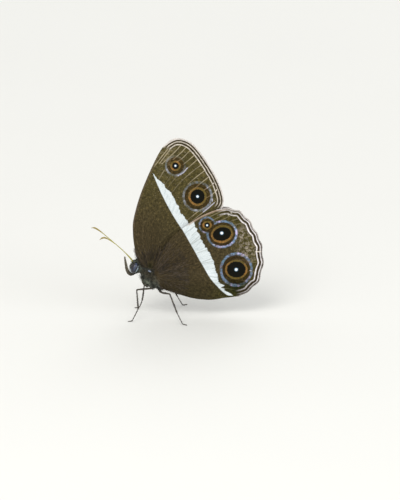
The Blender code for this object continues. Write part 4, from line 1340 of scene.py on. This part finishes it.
def egg(form, part, depth, girth=None):
    """Adds one rounded form of the trunk, shrunk by the coat's depth."""
    centre, tilt, half_length, half_width, half_up, half_down = part
    angle = math.radians(tilt)
    along = Vector((math.cos(angle), 0, -math.sin(angle)))
    up = Vector((math.sin(angle), 0, math.cos(angle)))
    made = bmesh.ops.create_uvsphere(form, u_segments=40, v_segments=28, radius=1)
    for vertex in made["verts"]:
        high, wide, far = vertex.co
        scale = float(girth(min(0.9999, max(-0.9999, far)))) if girth else 1.0
        half_high = half_up if high > 0 else half_down
        vertex.co = (Vector(centre) + along * far * (half_length - depth)
                     + Vector((0, 1, 0)) * wide * (half_width * scale - depth)
                     + up * high * (half_high * scale - depth))


def ring_frames(path):
    """A side and an up direction across each point of a path, with as little twist as can be."""
    ahead = unit(np.gradient(path, axis=0))
    first = np.cross(ahead[0], (0.0, 1.0, 0.0) if abs(ahead[0][1]) < 0.9 else (1.0, 0.0, 0.0))
    side = unit(first[None])[0]
    sides = []
    for direction in ahead:
        side = unit((side - direction * (side @ direction))[None])[0]
        sides.append(side)
    sides = np.array(sides)
    return sides, np.cross(ahead, sides), ahead


def tube(path, radii, corners=TUBE_CORNERS):
    """A closed round tube along a path, as (points, triangles, share along at each point)."""
    sides, ups, ahead = ring_frames(path)
    turn = np.linspace(0, 2 * math.pi, corners, endpoint=False)
    radii = np.asarray(radii, float)[:, None, None]
    rings = (path[:, None] + radii * (sides[:, None] * np.cos(turn)[None, :, None]
                                      + ups[:, None] * np.sin(turn)[None, :, None]))
    points = np.concatenate([rings.reshape(-1, 3), [path[0] - ahead[0] * radii[0, 0] * 0.5],
                             [path[-1] + ahead[-1] * radii[-1, 0] * 0.5]])
    count = len(path)
    faces = []
    for i in range(count - 1):
        for j in range(corners):
            a, b = i * corners + j, i * corners + (j + 1) % corners
            faces += [(a, b, b + corners), (a, b + corners, a + corners)]
    start, end = count * corners, count * corners + 1
    for j in range(corners):
        k = (j + 1) % corners
        faces.append((k, j, start))
        faces.append(((count - 1) * corners + j, (count - 1) * corners + k, end))
    share = np.concatenate([np.repeat(np.linspace(0, 1, count), corners), [0.0, 1.0]])
    return points, np.array(faces), share


def joined_parts(parts):
    """Several (points, triangles, values) put together as one."""
    points, faces, values = zip(*parts)
    starts = np.cumsum([0] + [len(some) for some in points[:-1]])
    faces = [some + start for some, start in zip(faces, starts)]
    return (np.concatenate(rows) for rows in (points, faces, values))


def add_tube(form, path, radii, corners):
    """Adds a tube to a form."""
    points, faces, _ = tube(path, radii, corners)
    made = [form.verts.new(point) for point in points]
    for face in faces:
        form.faces.new([made[i] for i in face])


def make_skin(look):
    """The body's skin: head, neck, thorax, waist and abdomen run together."""
    depth = look.depth / MM
    form = bmesh.new()
    egg(form, THORAX, depth)
    egg(form, HEAD, depth)
    egg(form, ABDOMEN, 0.6 * depth, abdomen_girth)
    for path, radii in NECK_AND_WAIST:
        add_tube(form, np.array(path, float), radii, 20)
    for start, end, radius in LEG_BASES:
        for sign in SIDES.values():
            ends = np.array([start, end]) * (1, sign, 1)
            path = ends[0] + (ends[1] - ends[0]) * np.linspace(0, 1, 9)[:, None]
            girth = radius * np.sqrt(1 - np.linspace(-0.93, 0.93, 9) ** 4)
            add_tube(form, path, girth, 16)
    mesh = finished_mesh(form, "body_skin")
    worker = added("body_skin_worker", mesh)
    remesh = worker.modifiers.new("one_skin", "REMESH")
    remesh.mode = "VOXEL"
    remesh.voxel_size = SKIN_CELL
    soft = worker.modifiers.new("soften", "SMOOTH")
    soft.factor = 0.5
    soft.iterations = SKIN_SOFTENING
    bpy.context.view_layer.update()
    graph = bpy.context.evaluated_depsgraph_get()
    skin = bpy.data.meshes.new_from_object(worker.evaluated_get(graph))
    bpy.data.objects.remove(worker)
    bpy.data.meshes.remove(mesh)
    places, normals = read_rows(skin.vertices, "co"), read_rows(skin.vertices, "normal")
    far = (places[:, 0] - ABDOMEN[0][0]) / ABDOMEN[2]
    rings = np.cos(math.pi * ABDOMEN_RINGS * (far + 1)) * smooth_step(-0.8, -0.5, far)
    places += normals * (RING_DEPTH * rings)[:, None]
    skin.vertices.foreach_set("co", (places * MM).ravel())
    skin.update()
    skin.name = "body_skin"
    new_object("body_skin", skin, skin_finish("body_skin_scales", look),
               ["head", "thorax", "abdomen"])


def trunk_axis(x):
    """The height of the body's middle line at x."""
    return np.interp(x, AXIS_PLACES, AXIS_HEIGHTS)


def skin_samples(rng, count, chosen):
    """Places spread evenly over the part of the skin that chosen() picks, with normals."""
    mesh = bpy.data.objects["body_skin"].data
    mesh.calc_loop_triangles()
    places = read_rows(mesh.vertices, "co") / MM
    normals = read_rows(mesh.vertices, "normal")
    triangles = read_rows(mesh.loop_triangles, "vertices", np.int32)
    a, b, c = (places[triangles[:, i]] for i in range(3))
    area = norms(np.cross(b - a, c - a)) * chosen((a + b + c) / 3)
    picked = rng.choice(len(triangles), count, p=area / area.sum())
    u, v = rng.uniform(0, 1, (2, count))
    u, v = np.where(u + v > 1, 1 - u, u)[:, None], np.where(u + v > 1, 1 - v, v)[:, None]
    roots = a[picked] + (b - a)[picked] * u + (c - a)[picked] * v
    trio = normals[triangles[picked]]
    return roots, unit(trio[:, 0] * (1 - u - v) + trio[:, 1] * u + trio[:, 2] * v)


def body_places(roots):
    """The roots on an unwrap of the body round its own axis."""
    angle = np.arctan2(roots[:, 1], roots[:, 2] - trunk_axis(roots[:, 0]))
    return np.stack([LAYOUT_RIM + LAYOUT_SPAN * (roots[:, 0] + 9.5) / 17.0,
                     0.5 + 0.47 * angle / math.pi], axis=1)


# Which places are on the head, the abdomen and the thorax, as 1 or 0.
def on_head(places):
    return (smooth_step(-6.3, -6.8, places[:, 0]) > 0.5).astype(float)


def on_abdomen(places):
    from_root = places[:, 0] - 0.35 * (places[:, 2] - 6.0)
    return (from_root > -2.3).astype(float)


def on_thorax(places):
    return 1.0 - np.maximum(on_head(places), on_abdomen(places))


def clump_values(rng, places):
    """A random value shared by the tufts of each slanting clump on the flanks."""
    across = places[:, 0] * 0.9 + places[:, 2] * 0.42 + 0.1 * np.sin(2.3 * places[:, 2])
    column = np.floor(across / CLUMP_WIDTH).astype(int)
    row = np.floor(places[:, 2] / CLUMP_LENGTH + 0.37 * column + (places[:, 1] > 0)).astype(int)
    table = rng.uniform(0, 1, (CLUMP_TABLE, CLUMP_TABLE))
    return table[column % CLUMP_TABLE, row % CLUMP_TABLE]


def make_thorax_fur(look, material):
    """The thorax's hair: grey clumps and rows below, and browner hair round the hinges."""
    brown = coat_finish("shoulder_hair", look.shoulder_dark, look.shoulder, 0.05, 1.3, 0.4)
    rng = seeded("thorax")
    roots, normals = skin_samples(rng, look.thorax_tufts, on_thorax)
    count = len(roots)
    back = np.array([0.5, 0.0, -0.7]) + rng.normal(0, 0.24, roots.shape)
    upper = smooth_step(-0.2, 0.8, normals[:, 2])
    lengths = look.thorax_length / MM * rng.uniform(0.6, 1.1, count) * (0.75 + 0.35 * upper)
    tints = (0.15 * rng.uniform(0, 1, count) ** 3
             + 0.5 * clump_values(seeded("clumps"), roots) ** 3 - 0.06)
    one_side = np.abs(roots) * (0, 1, 0) + roots * (1, 0, 1)
    for start, end, strength in PALE_ROWS:
        away = nearest(one_side, np.array([start, end]))[0]
        tints += strength * rng.uniform(0.5, 1.2, count) * smooth_step(0.34, 0.12, away)
    widths, lifts = rng.uniform(0.04, 0.075, count), rng.uniform(0.1, 0.4, count)
    front = smooth_step(-0.2, -0.6, normals[:, 0]) * smooth_step(6.7, 7.4, roots[:, 2])
    lifts += 0.45 * front
    lengths *= 1 + 0.25 * front
    slope = roots[:, 2] + 0.6 * (roots[:, 0] + 5.0) + rng.normal(0, 0.25, count)
    shoulder = (slope > 7.6) & (np.abs(roots[:, 1]) > 0.5)
    rows = (roots, normals, back, lengths, widths, lifts, body_places(roots), tints)
    for name, chosen, finish in (("thorax_fur", ~shoulder, material),
                                 ("shoulder_fur", shoulder, brown)):
        add_tufts(name, finish, "dark_fur", *(row[chosen] for row in rows))


def make_small_tufts(finishes):
    """The tufts at the hinges and at the antennae's roots."""
    for word, own in SMALL_TUFTS.items():
        rng = seeded(word)
        count = own["count"]
        for side, sign in SIDES.items():
            flip = np.array((1, sign, 1))
            roots = own["middle"] * flip + rng.normal(0, 1, (count, 3)) * own["spread"]
            normals = unit(own["normal"] * flip + rng.normal(0, 0.15, (count, 3)))
            lies = np.array(own["lie"]) + rng.normal(0, 0.3, (count, 3))
            add_tufts(f"{word}_{side}_tuft", finishes[word], "dark_fur", roots, normals, lies,
                      rng.uniform(*own["lengths"], count), rng.uniform(0.03, 0.05, count),
                      rng.uniform(0.2, 0.6, count), body_places(roots),
                      rng.uniform(*own["tints"], count))


def make_head_fur(look, material):
    """The head's hair, which leaves the eyes free and stands up on top."""
    rng = seeded("head")
    roots, normals = skin_samples(rng, look.head_tufts, on_head)
    away = (np.abs(roots) - np.abs(EYE_CENTRE)) / (np.array(EYE_HALVES) * 1.02)
    clear = np.sum(away ** 2, axis=1) > 1.0
    roots, normals = roots[clear], normals[clear]
    count = len(roots)
    top = smooth_step(9.6, 10.0, roots[:, 2])
    front = smooth_step(-7.9, -8.3, roots[:, 0])
    lies = (np.array([0.5, 0.0, 0.25])[None]
            + top[:, None] * (-0.45, 0.0, 0.75) + front[:, None] * (-0.6, 0.0, 0.1)
            + rng.normal(0, 0.25, roots.shape))
    lengths = look.head_length / MM * rng.uniform(0.55, 1.1, count) * (1 + 0.5 * top)
    lifts = rng.uniform(0.2, 0.5, count) + 0.35 * top
    add_tufts("head_fur", material, "dark_fur", roots, normals, lies, lengths,
              rng.uniform(0.035, 0.065, count), lifts, body_places(roots),
              0.55 * rng.uniform(0, 1, count) ** 2)


def make_abdomen_fur(look, material):
    """The abdomen's short broad scales."""
    rng = seeded("abdomen")
    roots, normals = skin_samples(rng, look.abdomen_tufts, on_abdomen)
    count = len(roots)
    lies = np.array([1.0, 0.0, -0.12]) + rng.normal(0, 0.16, roots.shape)
    lengths = look.abdomen_length / MM * rng.uniform(0.7, 1.15, count)
    add_tufts("abdomen_fur", material, "dark_fur", roots, normals, lies, lengths,
              rng.uniform(0.06, 0.1, count), rng.uniform(0.04, 0.2, count),
              body_places(roots), rng.uniform(0, 1, count))


def make_fur(look):
    """The coat of the thorax, head and abdomen, in tufts that follow its lie."""
    material = coat_finish("body_hair", look.dark, look.light, 0.08, 1.0, 0.45)
    # The hinge tufts' blue-white hair is a painted highlight.
    pale = coat_finish("hinge_hair", shade(96, 110, 132), shade(206, 220, 246), 0.1)
    make_thorax_fur(look, material)
    make_small_tufts({"hinge": pale, "brow": material})
    make_head_fur(look, material)
    make_abdomen_fur(look, material)


def make_eyes(look):
    """Two domed compound eyes."""
    material = eye_finish(look)
    angle = math.radians(HEAD[1])
    for side, sign in SIDES.items():
        form = bmesh.new()
        bmesh.ops.create_icosphere(form, subdivisions=5, radius=1)
        rearward, upward = [], []
        for vertex in form.verts:
            far, wide, high = vertex.co
            rearward.append(far)
            upward.append(high)
            bulge = 1.0 + 0.03 * math.cos(2.5 * high)
            far, wide, high = (far * EYE_HALVES[0], wide * EYE_HALVES[1] * bulge,
                               high * EYE_HALVES[2])
            vertex.co = (EYE_CENTRE[0] + far * math.cos(angle) + high * math.sin(angle),
                         sign * EYE_CENTRE[1] + wide,
                         EYE_CENTRE[2] - far * math.sin(angle) + high * math.cos(angle))
            vertex.co *= MM
        mesh = finished_mesh(form, f"eye_{side}_dome")
        add_fields(mesh, {"rearward": rearward, "upward": upward,
                          "limb": np.hypot(rearward, upward)})
        new_object(f"eye_{side}_dome", mesh, material, [f"eye_{side}"])


def tube_samples(rng, path, radii, count):
    """Places and normals spread over a tube, with the way it runs and the share along it."""
    share = rng.uniform(0.02, 0.98, count)
    steps = np.linspace(0, 1, len(path))
    middle, side, up, ahead = (
        np.stack([np.interp(share, steps, rows[:, i]) for i in range(3)], axis=1)
        for rows in (path, *ring_frames(path)))
    turn = rng.uniform(0, 2 * math.pi, count)
    out = side * np.cos(turn)[:, None] + up * np.sin(turn)[:, None]
    roots = middle + out * np.interp(share, steps, radii)[:, None]
    return roots, unit(out), unit(ahead), share


def make_palps(look):
    """The two upturned palps, flat from the sides and bristled in front."""
    skin = skin_finish("palp_skin_scales", look)
    hair = coat_finish("palp_hair", shade(56, 50, 40), look.palp, 0.1)
    for side, sign in SIDES.items():
        path = curve_through([(x, sign * y, z) for x, y, z in PALP_PATH], 0.1)
        radii = np.interp(np.linspace(0, 1, len(path)), PALP_SHARES, PALP_RADII)
        points, faces, _ = tube(path, radii)
        name = f"palp_{side}"
        new_object(name + "_core", mesh_of(name + "_core", points, faces), skin,
                   [name])
        rng = seeded(name)
        roots, normals, ahead, along = tube_samples(rng, path, radii, 1700)
        count = len(roots)
        forward = np.clip(-normals[:, 0], 0, 1)
        hollow = np.clip(normals[:, 0] + normals[:, 2], 0, 1) * smooth_step(0.65, 0.45, along)
        lengths = rng.uniform(0.16, 0.3, count) + 0.16 * forward * (1 - 0.5 * along)
        lengths *= 1 - 0.3 * hollow
        add_tufts(name + "_bristles", hair, "dark_fur", roots, normals,
                  ahead + rng.normal(0, 0.18, roots.shape), lengths,
                  rng.uniform(0.03, 0.05, count),
                  0.15 + 0.45 * hollow + 0.35 * forward * rng.uniform(0.5, 1, count),
                  np.stack([0.05 + 0.4 * (sign > 0) + 0.4 * along,
                            rng.uniform(0.05, 0.95, count)], axis=1),
                  (rng.uniform(0.1, 0.65, count) + 0.5 * np.clip(normals[:, 0], 0, 1))
                  * (0.3 + 0.7 * smooth_step(0.15, 0.45, along)))


def bent_path(points, reach, step):
    """A path with straight runs and short bends at its corners."""
    points = [np.array(point, float) for point in points]
    path = [points[0]]
    for before, corner, after in zip(points, points[1:], points[2:]):
        back, on = (way * (min(reach, 0.4 * np.linalg.norm(way)) / np.linalg.norm(way))
                    for way in (before - corner, after - corner))
        path += [corner + back, corner + 0.25 * (back + on), corner + on]
    path.append(points[-1])
    fine = []
    for start, end in zip(path, path[1:]):
        pieces = piece_count(start, end, step)
        fine += [start + (end - start) * k / pieces for k in range(pieces)]
    return np.array(fine + [path[-1]])


def corner_shares(path, corners):
    """The share of the path's length at each corner, and at each of its own points."""
    reached = distances_along(path)
    at_corners = [reached[nearest_index(path, corner)] / reached[-1]
                  for corner in np.array(corners, float)]
    return at_corners, reached / reached[-1]


def spike(root, way, size, radius, curve=(0.0, 0.0, 0.0)):
    """A thin pointed spine or claw, as (points, triangles, zeros)."""
    t = np.linspace(0, 1, 5)[:, None]
    path = root + way * size * t + np.array(curve) * size * t ** 2
    points, faces, share = tube(path, np.interp(t[:, 0], (0, 1), (radius, 0.006)), 5)
    return points, faces, np.zeros(len(share))


def one_unit(vector):
    """A single vector brought to length one."""
    return unit(vector[None])[0]


def make_leg(name, path_points, look, material, walking):
    """One leg: jointed and scaled; a walking leg also gets spines on the shin and foot and a pair
    of claws. Gives its path, its radii and how far along it the hair reaches."""
    rng = seeded(name)
    path = bent_path(path_points, 0.22, 0.07)
    marks, shares = corner_shares(path, path_points)
    thigh, shin, foot = (size / MM for size in (look.thigh_radius, look.shin_radius,
                                                look.foot_radius))
    if not walking:
        radii = np.interp(shares, (0, marks[1], 0.8, 1.0),
                          np.array((1.1, 0.85, 0.6, 0.25)) * thigh)
    else:
        hip, knee, heel = marks[1], marks[-5], marks[-4]
        nodes = ((0, 1.5 * thigh), (hip, 1.3 * thigh), (hip + 0.03, thigh),
                 (0.5 * (hip + knee), 1.1 * thigh), (knee - 0.02, 0.8 * thigh),
                 (knee, 0.95 * thigh), (knee + 0.03, 0.85 * shin),
                 (0.5 * (knee + heel), 1.05 * shin), (heel - 0.01, 1.1 * shin),
                 (heel + 0.02, 0.85 * foot), (1.0, 0.9 * foot))
        beyond = (shares - heel) / (1 - heel)
        rings = np.where(beyond > 0, np.cos(2 * math.pi * FOOT_RINGS * beyond), 0)
        radii = np.interp(shares, *zip(*nodes)) * (1 + 0.16 * rings)
    points, faces, share = tube(path, radii)
    parts = [(points, faces, 0.35 * (np.sin(share * 40) * 0.3 + 0.3))]
    if walking:
        points[:, 2] = np.maximum(points[:, 2], 0.0)
        for root, normal, way, at in zip(*tube_samples(rng, path, radii, 260)):
            if at > knee + 0.02 and root[2] > 0.12:
                size = rng.uniform(0.12, 0.2) * (0.8 if at > heel else 1.15)
                parts.append(spike(root, one_unit(way * 0.85 + normal * 0.6), size, 0.016))
        way = one_unit(path[-1] - path[-3])
        across = one_unit(np.cross(way, (0, 0, 1)))
        for turn in (-1, 1):
            claw = spike(path[-1] - way * 0.03 + across * turn * 0.03,
                         one_unit(way + across * turn * 0.5 + (0, 0, 0.1)), 0.22, 0.024,
                         (0, 0, -0.3))
            claw[0][:, 2] = np.maximum(claw[0][:, 2], CLAW_HEIGHT)
            parts.append(claw)
    points, faces, inner = joined_parts(parts)
    mesh = mesh_of(name + "_limb", points, faces, {"inner": inner})
    new_object(name + "_limb", mesh, material, [name])
    return path, radii, (knee if walking else 1.0)


def make_legs(limbs, coat):
    """Six legs: four that walk, and the short folded brush legs in front."""
    material = leg_finish(limbs)
    hair = coat_finish("leg_hair", coat.dark, shade(104, 98, 76), 0.1)
    for side in SIDES:
        made = {kind: make_leg(f"{kind}_{side}", paths[side], limbs, material,
                               kind != "foreleg") for kind, paths in LEG_PATHS.items()}
        for kind, (path, radii, hair_end) in made.items():
            name = f"{kind}_{side}_hair"
            own = BRUSH_LEG_HAIR if kind == "foreleg" else WALKING_LEG_HAIR
            rng = seeded(name)
            rows = tube_samples(rng, path, radii, own["count"])
            keep = rows[3] < hair_end
            roots, normals, ahead, share = (row[keep] for row in rows)
            count = len(roots)
            lengths, lifts = (rng.uniform(*own[key], count) for key in ("lengths", "lifts"))
            add_tufts(name, hair, "dark_fur", roots, normals,
                      ahead + rng.normal(0, 0.15, roots.shape), lengths,
                      rng.uniform(0.03, 0.055, count), lifts,
                      np.stack([0.05 + 0.9 * share, rng.uniform(0.05, 0.95, count)], axis=1),
                      rng.uniform(0, 1, count))


def make_antennae(look):
    """Two ringed antennae that swell to a slim club."""
    material = feeler_finish(look)
    for side in SIDES:
        path = curve_through(ANTENNA_PATHS[side], 0.05)
        reached = distances_along(path)
        share = reached / reached[-1]
        shaft, club = look.feeler_radius / MM, look.club_radius / MM
        radii = shaft * (1 + 0.5 * smooth_step(0.06, 0.0, share))
        radii += (club - shaft) * smooth_step(0.72, 0.9, share)
        radii *= 1 - 0.75 * smooth_step(0.93, 1.0, share)
        ring = reached / FEELER_RING
        radii *= 1 + 0.09 * (np.abs(np.sin(math.pi * ring)) - 0.6)
        points, faces, _ = tube(path, radii)
        rings = np.concatenate([np.repeat(ring, TUBE_CORNERS), [ring[0], ring[-1]]])
        swell = np.repeat(smooth_step(0.7, 0.85, share), TUBE_CORNERS)
        swell = np.concatenate([swell, [0.0, 1.0]])
        mesh = mesh_of(f"antenna_{side}_shaft", points, faces, {"rings": rings, "club": swell})
        new_object(f"antenna_{side}_shaft", mesh, material,
                   [f"antenna_{side}"])


def area_light(name, place, power, size, tint):
    """A round soft lamp that points at the butterfly."""
    lamp = bpy.data.lights.new(name, "AREA")
    lamp.shape = "DISK"
    lamp.size = size
    lamp.energy = power
    lamp.color = tint
    light = added(name, lamp)
    light.location = place
    aim = Vector(CAMERA_AIM) * MM - light.location
    light.rotation_euler = aim.to_track_quat("-Z", "Y").to_euler()


def make_stage(look):
    """A wide pale floor, soft lights, even light all round, and the camera."""
    form = bmesh.new()
    bmesh.ops.create_circle(form, cap_ends=True, cap_tris=True, segments=96,
                            radius=look.floor_radius)
    mesh = finished_mesh(form, "studio_floor")
    mesh.materials.append(floor_finish(look))
    added("studio_floor", mesh)
    area_light("key_light", (-0.16, -0.34, 0.42), look.key_power, 0.34, (1.0, 0.98, 0.95))
    area_light("fill_light", (0.4, -0.25, 0.2), look.fill_power, 0.4, (0.95, 0.98, 1.0))
    area_light("back_light", (0.1, 0.45, 0.35), look.fill_power, 0.4, (1.0, 1.0, 1.0))
    world = bpy.data.worlds.new("studio_air")
    world.use_nodes = True
    air = world.node_tree.nodes["Background"]
    air.inputs["Color"].default_value = (1.0, 1.0, 1.0, 1.0)
    air.inputs["Strength"].default_value = look.sky
    scene = bpy.context.scene
    scene.world = world
    scene.view_settings.view_transform = "Standard"
    camera = bpy.data.cameras.new("studio_camera")
    camera.lens = look.lens
    camera.sensor_width = SENSOR
    distance = VIEW_HEIGHT / SENSOR * look.lens * MM
    camera.clip_start = 0.01
    camera.clip_end = 50.0
    holder = added("studio_camera", camera)
    rise = math.radians(CAMERA_ELEVATION)
    holder.location = Vector(CAMERA_AIM) * MM + distance * Vector(
        (0, -math.cos(rise), math.sin(rise)))
    holder.rotation_euler = (math.pi / 2 - rise, 0, 0)
    scene.camera = holder


class BUSHBROWN_OT_forewings(bpy.types.Operator):
    """Build both forewings with their veins and markings"""

    bl_idname = "bushbrown.forewings"
    bl_label = "Forewings"

    def execute(self, context):
        make_wings("forewing", context.scene.bushbrown_wings)
        return {"FINISHED"}


class BUSHBROWN_OT_hindwings(bpy.types.Operator):
    """Build both hindwings with their veins and markings"""

    bl_idname = "bushbrown.hindwings"
    bl_label = "Hindwings"

    def execute(self, context):
        make_wings("hindwing", context.scene.bushbrown_wings)
        return {"FINISHED"}


class BUSHBROWN_OT_fringes(bpy.types.Operator):
    """Add the fringe of hair scales along each wing's outer edge"""

    bl_idname = "bushbrown.fringes"
    bl_label = "Wing Fringes"

    def execute(self, context):
        make_fringes(context.scene.bushbrown_wings)
        return {"FINISHED"}


class BUSHBROWN_OT_wing_hair(bpy.types.Operator):
    """Add the fine hair over each wing's base"""

    bl_idname = "bushbrown.wing_hair"
    bl_label = "Wing Base Hair"

    def execute(self, context):
        make_wing_hair()
        return {"FINISHED"}


class BUSHBROWN_OT_skin(bpy.types.Operator):
    """Build the one skin of head, thorax and abdomen"""

    bl_idname = "bushbrown.skin"
    bl_label = "Body Skin"

    def execute(self, context):
        make_skin(context.scene.bushbrown_coat)
        return {"FINISHED"}


class BUSHBROWN_OT_fur(bpy.types.Operator):
    """Cover the body skin with hair and scales"""

    bl_idname = "bushbrown.fur"
    bl_label = "Body Fur"

    def execute(self, context):
        make_fur(context.scene.bushbrown_coat)
        return {"FINISHED"}


class BUSHBROWN_OT_eyes(bpy.types.Operator):
    """Build both compound eyes"""

    bl_idname = "bushbrown.eyes"
    bl_label = "Eyes"

    def execute(self, context):
        make_eyes(context.scene.bushbrown_limbs)
        return {"FINISHED"}


class BUSHBROWN_OT_palps(bpy.types.Operator):
    """Build both palps with their bristles"""

    bl_idname = "bushbrown.palps"
    bl_label = "Palps"

    def execute(self, context):
        make_palps(context.scene.bushbrown_coat)
        return {"FINISHED"}


class BUSHBROWN_OT_legs(bpy.types.Operator):
    """Build all six legs with spines, claws and hair"""

    bl_idname = "bushbrown.legs"
    bl_label = "Legs"

    def execute(self, context):
        make_legs(context.scene.bushbrown_limbs, context.scene.bushbrown_coat)
        return {"FINISHED"}


class BUSHBROWN_OT_antennae(bpy.types.Operator):
    """Build both ringed and clubbed antennae"""

    bl_idname = "bushbrown.antennae"
    bl_label = "Antennae"

    def execute(self, context):
        make_antennae(context.scene.bushbrown_limbs)
        return {"FINISHED"}


class BUSHBROWN_OT_stage(bpy.types.Operator):
    """Set up the floor, lights and camera"""

    bl_idname = "bushbrown.stage"
    bl_label = "Stage"

    def execute(self, context):
        make_stage(context.scene.bushbrown_stage)
        return {"FINISHED"}


GROUPS = {
    "bushbrown_wings": BUSHBROWN_PG_wings,
    "bushbrown_coat": BUSHBROWN_PG_coat,
    "bushbrown_limbs": BUSHBROWN_PG_limbs,
    "bushbrown_stage": BUSHBROWN_PG_stage,
}
OPERATORS = (
    BUSHBROWN_OT_stage, BUSHBROWN_OT_forewings, BUSHBROWN_OT_hindwings, BUSHBROWN_OT_fringes,
    BUSHBROWN_OT_wing_hair, BUSHBROWN_OT_skin, BUSHBROWN_OT_fur, BUSHBROWN_OT_eyes,
    BUSHBROWN_OT_palps, BUSHBROWN_OT_legs, BUSHBROWN_OT_antennae,
)


class BUSHBROWN_PT_maker(bpy.types.Panel):
    """The steps that build the butterfly, with their settings"""

    bl_label = "Bushbrown Butterfly"
    bl_idname = "BUSHBROWN_PT_maker"
    bl_space_type = "VIEW_3D"
    bl_region_type = "UI"
    bl_category = "Butterfly"

    def draw(self, context):
        layout = self.layout
        for operator in OPERATORS:
            layout.operator(operator.bl_idname)
        for name, group in GROUPS.items():
            box = layout.box()
            for key in group.__annotations__:
                box.prop(getattr(context.scene, name), key)


CLASSES = (*GROUPS.values(), *OPERATORS, BUSHBROWN_PT_maker)


def register():
    for cls in CLASSES:
        bpy.utils.register_class(cls)
    for name, group in GROUPS.items():
        setattr(bpy.types.Scene, name, PointerProperty(type=group))


def unregister():
    for name in GROUPS:
        delattr(bpy.types.Scene, name)
    for cls in reversed(CLASSES):
        bpy.utils.unregister_class(cls)


def main():
    register()
    for operator in OPERATORS:
        group, name = operator.bl_idname.split(".")
        getattr(getattr(bpy.ops, group), name)()
    bpy.context.view_layer.update()


if __name__ == "__main__":
    main()
